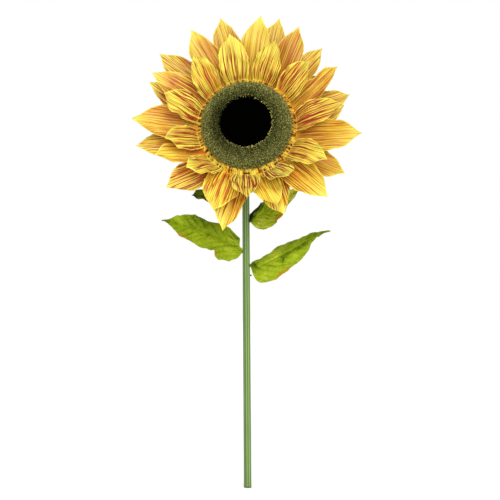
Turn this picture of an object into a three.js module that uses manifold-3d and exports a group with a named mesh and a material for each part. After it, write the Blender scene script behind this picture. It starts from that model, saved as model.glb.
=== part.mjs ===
// A giant artificial sunflower on one straight stem, as used for displays and windows.
// The head faces -Y and a little upwards. The stem's cut foot is at the origin. Sizes are in millimetres.
//
// From the foot up: a fluted plastic stem with four plugged leaves and one spare peg, a neck that
// bends forward into a green calyx, a yellow receptacle whose wall carries four rings of petals,
// and in front the flocked disc with its black seed centre.
import * as THREE from "three";
import { mergeVertices } from "three/addons/utils/BufferGeometryUtils.js";
import Module from "manifold-3d";

const wasm = await Module();
wasm.setup();

// Running gap between pieces that touch on the real flower.
const GAP = 0.3;

const STEM = {
  height: 908, // foot to the neck
  footRadius: 11,
  topRadius: 10.2,
  lean: -5.8, // sideways drift of the top
  flutes: 9,
  fluteDepth: 0.7,
  pointsPerFlute: 4,
  footRound: 1.4, // worn edge of the cut
};

const HEAD = {
  centre: new THREE.Vector3(-2.7, -140, 1001.2), // on the disc's widest circle
  elevation: THREE.MathUtils.degToRad(13), // how far the face looks up
  yaw: THREE.MathUtils.degToRad(-4), // and to the viewer's left
};

const DISC = {
  radius: 123,
  seedRadius: 69.5,
  height: 37, // of the crest over the widest circle
  crestOut: 9, // from the seeds' edge to the crest
  innerDrop: 3.5, // of the seeds' edge below the crest
  seedDish: 5, // how far the seed centre dips at its middle
  under: -0.7, // level of the flat back
  underInset: 5,
};

const RECEPTACLE = {
  radius: 135, // outer wall that carries the petals
  front: -1,
  back: -44,
  chamfer: 5,
};

const CALYX = {
  rimRadius: 121,
  depth: 38,
  backRadius: 16, // flat on which the neck ends
  sepals: 13,
  sepalReach: 178,
  sepalDrop: 30, // how far the points lie behind the rim
  thickness: 2.6,
};

const NECK = { radius: 9.6, sides: 16, steps: 12, headPull: 34, stemPull: 42 };

const PETAL = {
  thickness: 2.2,
  rows: 8,
  columns: 4,
  rootShare: 0.74, // root width as a share of the widest
  tipHalf: 1.2,
  widestAt: 0.42, // share of the length
  fullness: 2.6, // a larger one keeps the width nearer to the point
  bow: 0.45, // how far along its length a petal keeps the pitch of its root
  pleat: 1,
};
const SEPAL = {
  ...PETAL,
  thickness: CALYX.thickness,
  rows: 6,
  columns: 2,
  halfWidth: 24,
  pitch: -4,
  rootInset: 14, // from the calyx rim, so that it is well fused
  rootBehind: 4.4,
  pleat: 0,
};

// The rings from front to back. root is the level on the receptacle's wall, tip the usual level of
// the points, pitch the slope in degrees at the root. Petals are [name, clock at the root, clock at
// the point, reach of the point, half width, and where it differs from the ring, level of the point
// and fold]. Clocks are degrees from the top, clockwise to the viewer. Levels are forward of the
// disc's widest circle. A fold lifts both margins from the middle line, as a share of the width.
const RINGS = [
  {
    ring: "front",
    root: -11,
    tip: 95,
    pitch: 58,
    petals: [
      ["12", 347, 349, 231, 41],
      ["01", 18, 21, 221, 38],
      ["02", 47, 49, 226, 38],
      ["03", 84, 83.5, 250, 37],
      ["04", 118, 119.5, 250, 37],
      ["05", 148, 145, 212, 33, 112],
      ["06", 181.5, 177, 225, 40],
      ["07", 220, 226, 208, 37, 92],
      ["08", 255, 253.5, 217, 36],
      ["09", 286, 286, 224, 38],
      ["10", 316, 320, 219, 38],
    ],
  },
  {
    ring: "middle",
    root: -20,
    tip: 45,
    pitch: 36,
    petals: [
      ["12", 3, 7, 300, 43],
      ["01", 33, 28, 297, 41],
      ["02", 67, 59, 286, 33],
      ["03", 101, 97, 309, 46],
      ["04", 134, 134, 305, 45],
      ["05", 164, 159.5, 252, 40, 62],
      ["06", 202, 197, 264, 49, 60],
      ["07", 239, 248, 258, 33, 58],
      ["08", 270, 271, 305, 45],
      ["09", 301, 298, 288, 41],
      ["10", 331, 329.5, 300, 43],
    ],
  },
  {
    ring: "back",
    root: -29,
    tip: 0,
    pitch: 17,
    petals: [
      ["12", 346, 346, 320, 42],
      ["01", 17, 15.5, 318, 40],
      ["02", 42.5, 43, 298, 35],
      ["03", 73, 73, 287, 38],
      ["04", 118, 116.5, 296, 39],
      ["05", 151, 157.5, 268, 42],
      ["06", 188.5, 191.5, 299, 40, 0, 0.28],
      ["07", 219, 231, 274, 42],
      ["08", 255, 259.5, 304, 40],
      ["09", 288, 295, 296, 33],
      ["10", 313, 310.5, 320, 38],
    ],
  },
  {
    ring: "rear",
    root: -37,
    tip: -24,
    pitch: 8,
    petals: [
      ["01", 58.5, 55, 251, 38],
      ["02", 89, 77, 275, 38],
    ],
  },
];

const LEAF = {
  thickness: 2.8,
  rows: 14,
  columns: 6,
  rowCrowding: 1.5, // above 1, rows crowd where the foot swells
  rootHalf: 4.5,
  tipHalf: 1.2,
  bendAt: 0.4, // share of the length at which the midrib bends most
  foldWithin: 0.12, // share of the length over which the fold opens
};

// Each leaf: level of its peg on the stem, the way round the stem in degrees (0 to the viewer's
// right, 90 away from the viewer), the peg's climb per unit of reach, the point of the leaf, the way
// its upper side faces, the bow of the midrib to that side and its sag. The blade above the midrib
// and the blade below it each have a half width, a swell (how fast the foot reaches that width), a
// fullness (a larger one keeps the width nearer to the point) and a fold in degrees (positive lifts
// the margin to the upper side).
const LEAVES = [
  {
    name: "lower_left",
    level: 655,
    around: 188,
    rise: 0.5,
    tip: [-241, -62, 749],
    face: [-0.1, -0.92, 0.38],
    bow: 16,
    sag: 2,
    above: { half: 54, swell: 14, fullness: 5.5, fold: 12 },
    below: { half: 51, swell: 14, fullness: 1.9, fold: 10 },
  },
  {
    name: "lower_right",
    level: 620,
    around: -12,
    rise: 0.1,
    tip: [229, -48, 719],
    face: [0, -0.97, 0.24],
    bow: 16,
    sag: 44,
    above: { half: 64, swell: 4.5, fullness: 3.6, fold: -46 },
    below: { half: 58, swell: 15, fullness: 1.3, fold: 6 },
  },
  {
    name: "upper_right",
    level: 740,
    around: -14,
    rise: 0.5,
    tip: [150, -36, 840],
    face: [0.05, -0.96, 0.28],
    bow: 10,
    sag: 6,
    above: { half: 28, swell: 8, fullness: 2.4, fold: 8 },
    below: { half: 53, swell: 14, fullness: 2.4, fold: 8 },
  },
  {
    name: "upper_left",
    level: 786,
    around: 176,
    rise: 0.5,
    tip: [-158, 30, 820],
    face: [-0.15, -0.75, 0.64],
    bow: 12,
    sag: 0,
    above: { half: 38, swell: 12, fullness: 2.4, fold: 9 },
    below: { half: 36, swell: 12, fullness: 2.4, fold: 9 },
  },
];

const PEG = { length: 7, rootRadius: 4, endRadius: 3.4, sides: 12 };
const SPARE_PEG = { ...PEG, level: 594, around: -6, rise: 0, length: 4, rootRadius: 3.2, endRadius: 2.2 };

const COLOURS = {
  petalFront: 0xf2c435,
  petalMiddle: 0xe9a93a,
  petalBack: 0xdfa02f,
  collar: 0xd9a521,
  flock: 0x5c6032,
  seed: 0x060606,
  leaf: 0x7f9a1c,
  calyx: 0x5f7f24,
  stem: 0x86a862,
  peg: 0x2f3f1c,
};

function material(colour, roughness) {
  return new THREE.MeshStandardMaterial({ color: colour, roughness, metalness: 0 });
}

// A closed skin over a grid of rows and columns with a front and a back side.
// pointAt(s, t, side) gives the point for s along, t across from -1 to 1, and side 1 or -1.
function bladeGeometry(rows, columns, pointAt) {
  const positions = [];
  const index = [];
  const across = columns + 1;
  const perSide = (rows + 1) * across;
  for (const side of [1, -1]) {
    for (let i = 0; i <= rows; i++) {
      for (let j = 0; j <= columns; j++) {
        positions.push(...pointAt(i / rows, (2 * j) / columns - 1, side).toArray());
      }
    }
  }
  const quad = (a, b, c, d) => index.push(a, b, c, a, c, d);
  const at = (i, j, back = 0) => back * perSide + i * across + j;
  for (let i = 0; i < rows; i++) {
    for (let j = 0; j < columns; j++) {
      quad(at(i, j), at(i, j + 1), at(i + 1, j + 1), at(i + 1, j));
      quad(at(i, j, 1), at(i + 1, j, 1), at(i + 1, j + 1, 1), at(i, j + 1, 1));
    }
    quad(at(i, 0), at(i + 1, 0), at(i + 1, 0, 1), at(i, 0, 1));
    quad(at(i, columns), at(i, columns, 1), at(i + 1, columns, 1), at(i + 1, columns));
  }
  for (let j = 0; j < columns; j++) {
    quad(at(0, j), at(0, j, 1), at(0, j + 1, 1), at(0, j + 1));
    quad(at(rows, j), at(rows, j + 1), at(rows, j + 1, 1), at(rows, j, 1));
  }
  return geometryFrom(positions, index);
}

function geometryFrom(positions, index) {
  const geometry = new THREE.BufferGeometry();
  geometry.setAttribute("position", new THREE.Float32BufferAttribute(positions, 3));
  geometry.setIndex(index);
  geometry.computeVertexNormals();
  return geometry;
}

// Rings of points, all with the same count, joined by walls and closed by flat ends.
function loftGeometry(rings) {
  const count = rings[0].length;
  const positions = rings.flat().flatMap((p) => p.toArray());
  const index = [];
  for (let k = 0; k + 1 < rings.length; k++) {
    for (let i = 0; i < count; i++) {
      const a = k * count + i;
      const b = k * count + ((i + 1) % count);
      index.push(a, b, b + count, a, b + count, a + count);
    }
  }
  for (const [k, outward] of [
    [0, false],
    [rings.length - 1, true],
  ]) {
    const middle = positions.length / 3;
    const centre = new THREE.Vector3();
    rings[k].forEach((p) => centre.add(p));
    positions.push(...centre.divideScalar(count).toArray());
    for (let i = 0; i < count; i++) {
      const a = k * count + i;
      const b = k * count + ((i + 1) % count);
      index.push(...(outward ? [a, b, middle] : [b, a, middle]));
    }
  }
  return geometryFrom(positions, index);
}

// A turned solid about the head's axis, from [radius, forward] pairs that run from the back of the
// axis round the outside to the front of it, or once round a closed section.
function turned(profile, segments = 64) {
  const points = profile.map(([r, forward]) => new THREE.Vector2(r, forward));
  return new THREE.LatheGeometry(points, segments).rotateX(Math.PI);
}

function solidOf(geometry) {
  const bare = geometry.clone();
  bare.deleteAttribute("normal");
  bare.deleteAttribute("uv");
  const merged = mergeVertices(bare, 1e-4);
  return new wasm.Manifold(
    new wasm.Mesh({
      numProp: 3,
      vertProperties: merged.attributes.position.array,
      triVerts: new Uint32Array(merged.index.array),
    }),
  );
}

function geometryOf(solid) {
  const mesh = solid.getMesh();
  return geometryFrom(Array.from(mesh.vertProperties), Array.from(mesh.triVerts));
}

function named(name, geometry, look) {
  const mesh = new THREE.Mesh(geometry, look);
  mesh.name = name;
  return mesh;
}

// A point of the head from its clock in degrees, its distance from the axis and its forward level.
function headPoint(clock, radius, forward) {
  const a = THREE.MathUtils.degToRad(clock);
  return new THREE.Vector3(radius * Math.sin(a), -forward, radius * Math.cos(a));
}

const mix = (a, b, s) => a + (b - a) * s;

// Half width along a petal: it swells from the root to its widest place and closes to a point.
function petalHalfWidth(s, { halfWidth, rootShare, widestAt, fullness, tipHalf }) {
  if (s < widestAt) return halfWidth * mix(rootShare, 1, Math.sin((s / widestAt) * (Math.PI / 2)));
  const past = (s - widestAt) / (1 - widestAt);
  return Math.max(tipHalf, halfWidth * (1 - past ** fullness));
}

// A petal or sepal: a thin blade that leaves the wall at a pitch and bows to its point. root and
// tip are [clock, radius, level].
function petalGeometry(shape, root, tip, fold = 0) {
  const pitch = THREE.MathUtils.degToRad(shape.pitch);
  const from = new THREE.Vector2(root[1], root[2]);
  const to = new THREE.Vector2(tip[1], tip[2]);
  const leave = new THREE.Vector2(Math.cos(pitch), Math.sin(pitch));
  const bend = from.clone().addScaledVector(leave, shape.bow * from.distanceTo(to));
  const path = new THREE.QuadraticBezierCurve(from, bend, to);
  return bladeGeometry(shape.rows, shape.columns, (s, t, side) => {
    const on = path.getPoint(s);
    const along = path.getTangent(s);
    const half = petalHalfWidth(s, shape);
    // Shallow pleats and the fold both fade out towards the root.
    const pleat = shape.pleat * Math.cos(2 * Math.PI * t) * Math.sin(Math.PI * s);
    const lift = pleat + fold * half * Math.abs(t) * Math.sin((Math.PI / 2) * s);
    const offset = lift + (side * shape.thickness) / 2;
    // At the root the thickness runs along the wall, further out along the blade's own normal.
    const normal = s === 0 ? new THREE.Vector2(0, 1) : new THREE.Vector2(-along.y, along.x);
    on.addScaledVector(normal, offset);
    const turn = THREE.MathUtils.radToDeg((t * half) / on.x);
    return headPoint(mix(root[0], tip[0], s) + turn, on.x, on.y);
  });
}

function petals() {
  const looks = {
    front: material(COLOURS.petalFront, 0.8),
    middle: material(COLOURS.petalMiddle, 0.8),
    back: material(COLOURS.petalBack, 0.8),
    rear: material(COLOURS.petalBack, 0.8),
  };
  const wall = RECEPTACLE.radius + 2 * GAP;
  return RINGS.flatMap(({ ring, root, tip, pitch, petals: rows }) =>
    rows.map(([name, rootClock, tipClock, reach, halfWidth, level = tip, fold = 0]) => {
      const shape = { ...PETAL, pitch, halfWidth };
      const geometry = petalGeometry(
        shape,
        [rootClock, wall, root],
        [tipClock, reach, level],
        fold,
      );
      return named(`petal_${ring}_${name}`, geometry, looks[ring]);
    }),
  );
}

// The flocked ring: a pillow that rises from the widest circle to a crest and rolls into the seeds.
function discRim() {
  const { radius, seedRadius, height, crestOut, innerDrop, under, underInset } = DISC;
  const inner = seedRadius + GAP;
  const steps = 9;
  const pillow = Array.from({ length: steps + 1 }, (_, i) => {
    const a = (i / steps) * (Math.PI / 2);
    return [mix(inner + crestOut, radius, Math.cos(a)), height * Math.sin(a)];
  });
  const profile = [
    [inner, under],
    [radius - underInset, under],
    ...pillow,
    [inner + crestOut / 3, height - innerDrop / 3],
    [inner, height - innerDrop],
    [inner, under],
  ];
  return named("disc_rim", turned(profile), material(COLOURS.flock, 1));
}

function seedCentre() {
  const { seedRadius, height, innerDrop, seedDish, under } = DISC;
  const dish = [1, 2 / 3, 1 / 3, 0].map((share) => [
    seedRadius * share,
    height - innerDrop - seedDish * (1 - share * share),
  ]);
  const profile = [[0, under], [seedRadius, under], ...dish];
  return named("seed_centre", turned(profile), material(COLOURS.seed, 1));
}

// The yellow core behind the disc. Its wall carries the petals and its lip shows round the disc.
function receptacle() {
  const { radius, front, back, chamfer } = RECEPTACLE;
  const profile = [
    [0, back],
    [radius - chamfer, back],
    [radius, back + chamfer],
    [radius, front - chamfer],
    [radius - chamfer / 3, front - chamfer / 2],
    [radius - chamfer, front],
    [0, front],
  ];
  return named("receptacle", turned(profile), material(COLOURS.collar, 0.85));
}

// The calyx bowl is a half ellipse, flattened where the neck ends. This is the level of that flat.
const calyxRim = RECEPTACLE.back - GAP;
const calyxFlatAngle = Math.acos(CALYX.backRadius / CALYX.rimRadius);
const calyxBack = calyxRim - CALYX.depth * Math.sin(calyxFlatAngle);

// Green bowl behind the receptacle with a ring of sepals fused to its rim.
function calyx() {
  const { rimRadius, depth, sepals, sepalReach, sepalDrop } = CALYX;
  const steps = 6;
  const bowl = Array.from({ length: steps + 1 }, (_, i) => {
    const a = calyxFlatAngle * (1 - i / steps);
    return [rimRadius * Math.cos(a), calyxRim - depth * Math.sin(a)];
  });
  let cup = solidOf(turned([[0, calyxBack], ...bowl, [0, calyxRim]], 4 * sepals));
  for (let i = 0; i < sepals; i++) {
    const clock = (360 * i) / sepals;
    const swing = 5 * ((i % 3) - 1);
    const sepal = petalGeometry(
      SEPAL,
      [clock, rimRadius - SEPAL.rootInset, calyxRim - SEPAL.rootBehind],
      [clock + swing, sepalReach - 2 * Math.abs(swing), calyxRim - sepalDrop],
    );
    cup = cup.add(solidOf(sepal));
  }
  return named("calyx", geometryOf(cup), material(COLOURS.calyx, 0.85));
}

function head() {
  const group = new THREE.Group();
  group.position.copy(HEAD.centre);
  group.rotation.set(-HEAD.elevation, 0, HEAD.yaw, "ZXY");
  group.add(discRim(), seedCentre(), receptacle(), calyx(), ...petals());
  return group;
}

const stemCentreAt = (z) => new THREE.Vector3((STEM.lean * z) / STEM.height, 0, z);
const stemRadiusAt = (z) => mix(STEM.footRadius, STEM.topRadius, z / STEM.height);

function stem() {
  const count = STEM.flutes * STEM.pointsPerFlute;
  const levels = [0, STEM.footRound, STEM.height / 3, (2 * STEM.height) / 3, STEM.height];
  const rings = levels.map((z) => {
    const centre = stemCentreAt(z);
    const worn = z === 0 ? STEM.footRound : 0;
    return Array.from({ length: count }, (_, i) => {
      const a = (2 * Math.PI * i) / count;
      const hollow = (STEM.fluteDepth * (1 - Math.cos(STEM.flutes * a))) / 2;
      const r = stemRadiusAt(z) - hollow - worn;
      return new THREE.Vector3(centre.x + r * Math.cos(a), r * Math.sin(a), z);
    });
  });
  return named("stem", loftGeometry(rings), material(COLOURS.stem, 0.55));
}

// The bend that carries the head: from the back of the calyx down into the top of the stem.
function neck() {
  const turn = new THREE.Euler(-HEAD.elevation, 0, HEAD.yaw, "ZXY");
  const backwards = new THREE.Vector3(0, 1, 0).applyEuler(turn);
  const from = HEAD.centre.clone().addScaledVector(backwards, GAP - calyxBack);
  const to = stemCentreAt(STEM.height).add(new THREE.Vector3(0, 0, GAP));
  const path = new THREE.CubicBezierCurve3(
    to,
    to.clone().add(new THREE.Vector3(0, 0, NECK.stemPull)),
    from.clone().addScaledVector(backwards, NECK.headPull),
    from,
  );
  const section = new THREE.Shape();
  for (let i = 0; i < NECK.sides; i++) {
    const a = (2 * Math.PI * i) / NECK.sides;
    const [x, y] = [NECK.radius * Math.cos(a), NECK.radius * Math.sin(a)];
    if (i === 0) section.moveTo(x, y);
    else section.lineTo(x, y);
  }
  section.closePath();
  const geometry = new THREE.ExtrudeGeometry(section, {
    steps: NECK.steps,
    extrudePath: path,
    bevelEnabled: false,
  });
  return named("neck", geometry, material(COLOURS.stem, 0.55));
}

function pegDirection(around) {
  const a = THREE.MathUtils.degToRad(around);
  return new THREE.Vector3(Math.cos(a), Math.sin(a), 0);
}

// A ring of points round a place, square to a direction.
function ringAt(place, direction, radius, sides) {
  const turn = new THREE.Quaternion().setFromUnitVectors(new THREE.Vector3(0, 0, 1), direction);
  return Array.from({ length: sides }, (_, i) => {
    const a = (2 * Math.PI * i) / sides;
    const p = new THREE.Vector3(radius * Math.cos(a), radius * Math.sin(a), 0);
    return p.applyQuaternion(turn).add(place);
  });
}

// A peg that grows out of the stem, trimmed to lie a running gap clear of it.
function pegGeometry(peg) {
  const end = pegEnd(peg);
  const core = loftGeometry([
    ringAt(stemCentreAt(peg.level), pegAxis(peg), peg.rootRadius, peg.sides),
    ringAt(end, pegAxis(peg), peg.endRadius, peg.sides),
  ]);
  const above = new THREE.Vector3(0, 0, 1);
  const cutter = loftGeometry(
    [peg.level - STEM.footRadius, end.z + STEM.footRadius].map((z) =>
      ringAt(stemCentreAt(z), above, stemRadiusAt(z) + GAP, STEM.flutes * STEM.pointsPerFlute),
    ),
  );
  return geometryOf(solidOf(core).subtract(solidOf(cutter)));
}

function pegAxis({ around, rise }) {
  return pegDirection(around).add(new THREE.Vector3(0, 0, rise)).normalize();
}

function pegEnd({ level, around, rise, length }) {
  const reach = stemRadiusAt(level) + length;
  return stemCentreAt(level)
    .addScaledVector(pegDirection(around), reach)
    .add(new THREE.Vector3(0, 0, reach * rise));
}

// Half width of one side of a leaf: a broad foot, then a long curve to the point.
function leafHalfWidth(s, { half, swell, fullness }) {
  const foot = 1 - Math.exp(-swell * s);
  return Math.max(LEAF.tipHalf, mix(LEAF.rootHalf, half * (1 - s ** fullness), foot));
}

function leafGeometry(leaf) {
  const direction = pegAxis(leaf);
  const root = pegEnd({ ...PEG, ...leaf }).addScaledVector(direction, GAP);
  const tip = new THREE.Vector3(...leaf.tip);
  const face = new THREE.Vector3(...leaf.face).normalize();
  const middle = root.clone().lerp(tip, LEAF.bendAt).addScaledVector(face, leaf.bow);
  middle.z -= leaf.sag;
  const midrib = new THREE.QuadraticBezierCurve3(root, middle, tip);
  return bladeGeometry(LEAF.rows, LEAF.columns, (u, t, side) => {
    const s = u ** LEAF.rowCrowding;
    const along = midrib.getTangent(s);
    // The foot of the blade stands square on its peg.
    if (s === 0) along.copy(direction);
    const across = new THREE.Vector3().crossVectors(along, face).normalize();
    const normal = new THREE.Vector3().crossVectors(across, along).normalize();
    const blade = across.z * t > 0 ? leaf.above : leaf.below;
    const fold = THREE.MathUtils.degToRad(blade.fold) * Math.min(1, s / LEAF.foldWithin);
    const half = Math.abs(t) * leafHalfWidth(s, blade);
    const lift = half * Math.sin(fold) + (side * LEAF.thickness) / 2 / Math.cos(fold);
    return midrib
      .getPoint(s)
      .addScaledVector(across, Math.sign(t) * half * Math.cos(fold))
      .addScaledVector(normal, lift);
  });
}

function leaves() {
  const green = material(COLOURS.leaf, 0.8);
  return LEAVES.flatMap((leaf) => [
    named(`leaf_${leaf.name}`, leafGeometry(leaf), green),
    peg(`leaf_peg_${leaf.name}`, { ...PEG, ...leaf }),
  ]);
}

function peg(name, size) {
  return named(name, pegGeometry(size), material(COLOURS.peg, 0.7));
}

const sunflower = new THREE.Group();
sunflower.add(stem(), neck(), head(), ...leaves(), peg("spare_peg", SPARE_PEG));

export default sunflower;
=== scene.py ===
import math

import bmesh
import bpy
import numpy as np
from mathutils import Matrix, Vector


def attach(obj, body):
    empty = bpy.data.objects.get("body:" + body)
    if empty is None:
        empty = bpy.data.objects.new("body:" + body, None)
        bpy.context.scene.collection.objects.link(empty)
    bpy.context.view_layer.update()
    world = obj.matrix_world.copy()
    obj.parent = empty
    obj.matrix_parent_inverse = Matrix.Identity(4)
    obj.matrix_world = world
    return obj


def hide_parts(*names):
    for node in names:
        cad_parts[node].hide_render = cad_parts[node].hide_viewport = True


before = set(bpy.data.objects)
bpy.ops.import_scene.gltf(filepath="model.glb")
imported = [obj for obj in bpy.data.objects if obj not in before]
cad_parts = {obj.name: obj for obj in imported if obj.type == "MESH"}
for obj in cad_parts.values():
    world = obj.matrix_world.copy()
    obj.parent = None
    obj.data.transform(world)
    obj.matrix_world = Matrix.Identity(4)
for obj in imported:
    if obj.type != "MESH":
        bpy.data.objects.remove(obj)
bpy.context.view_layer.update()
print("frame loaded:", len(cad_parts), "nodes")

# Sizes are in metres and angles in degrees. The head looks towards -Y and a little upwards, and the stem's
# foot is at the origin.

camera = {
    "place": (0.0062, -4.0, 0.665),
    "lens": 102.86,
    "sensorWidth": 36,
    "farthest": 60,
}

studio = {
    "backdrop": (1.0, 1.0, 1.0),
    "backdropStrength": 1.0,
    "skyStrength": 0.58,
    "keyStrength": 1.80,
    "keyFrom": (0.10, -1.0, 0.40),
    "keySoftness": 38,
    "fillStrength": 0.92,
    "fillFrom": (0.45, -1.0, -0.30),
    "fillSoftness": 80,
    "floorGlow": 0.35,
    "floorRadius": 9.0,
    "floorSides": 96,
    "floorFrom": (246, 246, 245),
    "floorTo": (250, 250, 249),
}


def setCamera():
    data = bpy.data.cameras.new("photoCamera")
    data.lens = camera["lens"]
    data.sensor_width = camera["sensorWidth"]
    data.clip_end = camera["farthest"]
    data.dof.use_dof = False
    made = bpy.data.objects.new("photoCamera", data)
    made.location = camera["place"]
    made.rotation_euler = (math.pi / 2, 0, 0)
    bpy.context.scene.collection.objects.link(made)
    bpy.context.scene.camera = made


setCamera()


# Node graphs

class Wire:
    # One output of a node, with the arithmetic that a node graph needs.
    def __init__(self, graph, socket):
        self.graph = graph
        self.socket = socket

    def maths(self, operation, *others):
        values = dict(enumerate((self, *others)))
        return self.graph.node("ShaderNodeMath", {"operation": operation}, values)

    def __add__(self, other):
        return self.maths("ADD", other)

    __radd__ = __add__

    def __sub__(self, other):
        return self.maths("SUBTRACT", other)

    def __rsub__(self, other):
        return self.graph.node("ShaderNodeMath", {"operation": "SUBTRACT"}, {0: other, 1: self})

    def __mul__(self, other):
        return self.maths("MULTIPLY", other)

    __rmul__ = __mul__

    def clamped(self):
        return self.graph.node("ShaderNodeClamp", {}, {"Value": self})

    def smooth(self, low, high):
        # 0 below low and 1 above high, with a soft step between them
        settings = {"interpolation_type": "SMOOTHSTEP"}
        values = {"Value": self, "From Min": low, "From Max": high}
        return self.graph.node("ShaderNodeMapRange", settings, values)


class Graph:
    def __init__(self, tree):
        self.tree = tree

    def node(self, kind, settings=None, values=None, out=0):
        made = self.tree.nodes.new(kind)
        for key, value in (settings or {}).items():
            if key == "stops":
                self.setStops(made.color_ramp, value)
            else:
                setattr(made, key, value)
        for key, value in (values or {}).items():
            if isinstance(value, Wire):
                self.tree.links.new(value.socket, made.inputs[key])
            else:
                made.inputs[key].default_value = value
        return Wire(self, made.outputs[out])

    def setStops(self, ramp, stops):
        while len(ramp.elements) > 1:
            ramp.elements.remove(ramp.elements[-1])
        for i, (place, colour) in enumerate(stops):
            stop = ramp.elements[0] if i == 0 else ramp.elements.new(place)
            stop.position = place
            stop.color = (*linear(colour), 1)

    def blend(self, mask, first, second):
        settings = {"data_type": "RGBA", "blend_type": "MIX"}
        return self.node("ShaderNodeMix", settings, {0: mask, 6: paint(first), 7: paint(second)}, 2)

    def attribute(self, name):
        return self.node("ShaderNodeAttribute", {"attribute_name": name}, out="Fac")

    def place(self):
        return self.node("ShaderNodeTexCoord", out="Object")

    def vector(self, x, y, z):
        return self.node("ShaderNodeCombineXYZ", {}, {"X": x, "Y": y, "Z": z})

    def noise(self, where, scale, detail=2.0, roughness=0.5):
        values = {"Vector": where, "Scale": scale, "Detail": detail, "Roughness": roughness}
        return self.node("ShaderNodeTexNoise", {"noise_dimensions": "3D"}, values)

    def ramp(self, value, stops):
        return self.node("ShaderNodeValToRGB", {"stops": stops}, {"Fac": value})


def linear(colour):
    # colours are written as they look on a screen, from 0 to 255
    share = [c / 255 for c in colour]
    return tuple(c / 12.92 if c <= 0.04045 else ((c + 0.055) / 1.055) ** 2.4 for c in share)


def paint(colour):
    return colour if isinstance(colour, Wire) else (*linear(colour), 1)


def newMaterial(name, roughness, specular=0.5, sheen=0.0):
    material = bpy.data.materials.new(name)
    material.use_nodes = True
    graph = Graph(material.node_tree)
    shader = material.node_tree.nodes["Principled BSDF"]
    shader.inputs["Roughness"].default_value = roughness
    shader.inputs["Specular IOR Level"].default_value = specular
    shader.inputs["Sheen Weight"].default_value = sheen
    return material, graph, shader


def finishMaterial(graph, shader, colour, height=None, bump=0.3, distance=0.0005, roughness=None):
    graph.tree.links.new(colour.socket, shader.inputs["Base Color"])
    if height is not None:
        values = {"Height": height, "Strength": bump, "Distance": distance}
        relief = graph.node("ShaderNodeBump", {}, values)
        graph.tree.links.new(relief.socket, shader.inputs["Normal"])
    if roughness is not None:
        graph.tree.links.new(roughness.socket, shader.inputs["Roughness"])


# Meshes

def newPiece(name, points, faces, material, flatFaces=0, attributes=None):
    # flatFaces counts the faces at the end of the list that are shaded flat, such as a cut edge
    mesh = bpy.data.meshes.new(name)
    mesh.from_pydata(np.asarray(points).tolist(), [], np.asarray(faces).tolist())
    smooth = np.ones(len(faces), bool)
    if flatFaces:
        smooth[-flatFaces:] = False
    mesh.polygons.foreach_set("use_smooth", smooth)
    for key, values in (attributes or {}).items():
        layer = mesh.attributes.new(key, "FLOAT", "POINT")
        layer.data.foreach_set("value", np.asarray(values, np.float32).ravel())
    mesh.materials.append(material)
    mesh.update()
    made = bpy.data.objects.new(name, mesh)
    bpy.context.scene.collection.objects.link(made)
    return made


def sheetFaces(rows, columns):
    # a closed sheet: the front grid, the back grid turned round, and the rim that joins them
    i, j = np.meshgrid(np.arange(rows), np.arange(columns), indexing="ij")
    across = columns + 1
    a = (i * across + j).ravel()
    front = np.stack([a, a + 1, a + 1 + across, a + across], 1)
    perSide = (rows + 1) * across
    back = front[:, ::-1] + perSide
    low = np.arange(columns)
    high = rows * across + low
    left = np.arange(rows) * across
    right = left + columns
    rims = [
        np.stack([low, low + perSide, low + 1 + perSide, low + 1], 1),
        np.stack([high + 1, high + 1 + perSide, high + perSide, high], 1),
        np.stack([left + across, left + across + perSide, left + perSide, left], 1),
        np.stack([right, right + perSide, right + across + perSide, right + across], 1),
    ]
    rim = np.concatenate(rims)
    return np.concatenate([front, back, rim]), len(rim)


def ringFaces(around, count, steps=None):
    # walls between profiles that stand round an axis, each with the same count of points
    faces = []
    for i in range(around):
        a, b = i * count, (i + 1) % around * count
        for k in range(count - 1 if steps is None else steps):
            n = (k + 1) % count
            faces.append((a + k, a + n, b + n, b + k))
    return faces


def mix(a, b, share):
    return a + (b - a) * share


def softStep(value, low, high):
    x = np.clip((value - low) / (high - low), 0, 1)
    return x * x * (3 - 2 * x)


# Head

head = {
    "centre": (-0.0027, -0.140, 1.0012),
    "elevation": 13,
    "yaw": -4,
}

headFrame = (
    Matrix.Translation(head["centre"])
    @ Matrix.Rotation(math.radians(head["yaw"]), 4, "Z")
    @ Matrix.Rotation(math.radians(-head["elevation"]), 4, "X")
)


def onHead(clock, radius, forward):
    # a place on the head from its clock in degrees, distance from the axis and level
    a = np.radians(clock)
    local = np.stack([radius * np.sin(a), -forward + 0 * a, radius * np.cos(a)], -1)
    turn = np.array(headFrame.to_3x3())
    return local @ turn.T + np.array(headFrame.translation)


petalSizes = {
    "thickness": 0.0007,
    "rows": 44,
    "columns": 96,
    "rootShare": 0.74,
    "tipHalf": 0.0008,
    "widestAt": 0.42,
    "fullness": 2.6,
    "bow": 0.45,
    "wallRadius": 0.1356,
    "tuckRows": 5,
    "laneSpan": 1.3,  # pleats are laid out this far past the half width
    "creaseWidth": 0.0011,
    "ragged": (0.024, 0.020, 0.014),
    "ruffle": 0.0032,
    "buckle": 0.0030,
    "curl": (-0.0015, 0.0045),
    "cup": (-0.08, 0.14),
}

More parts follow.
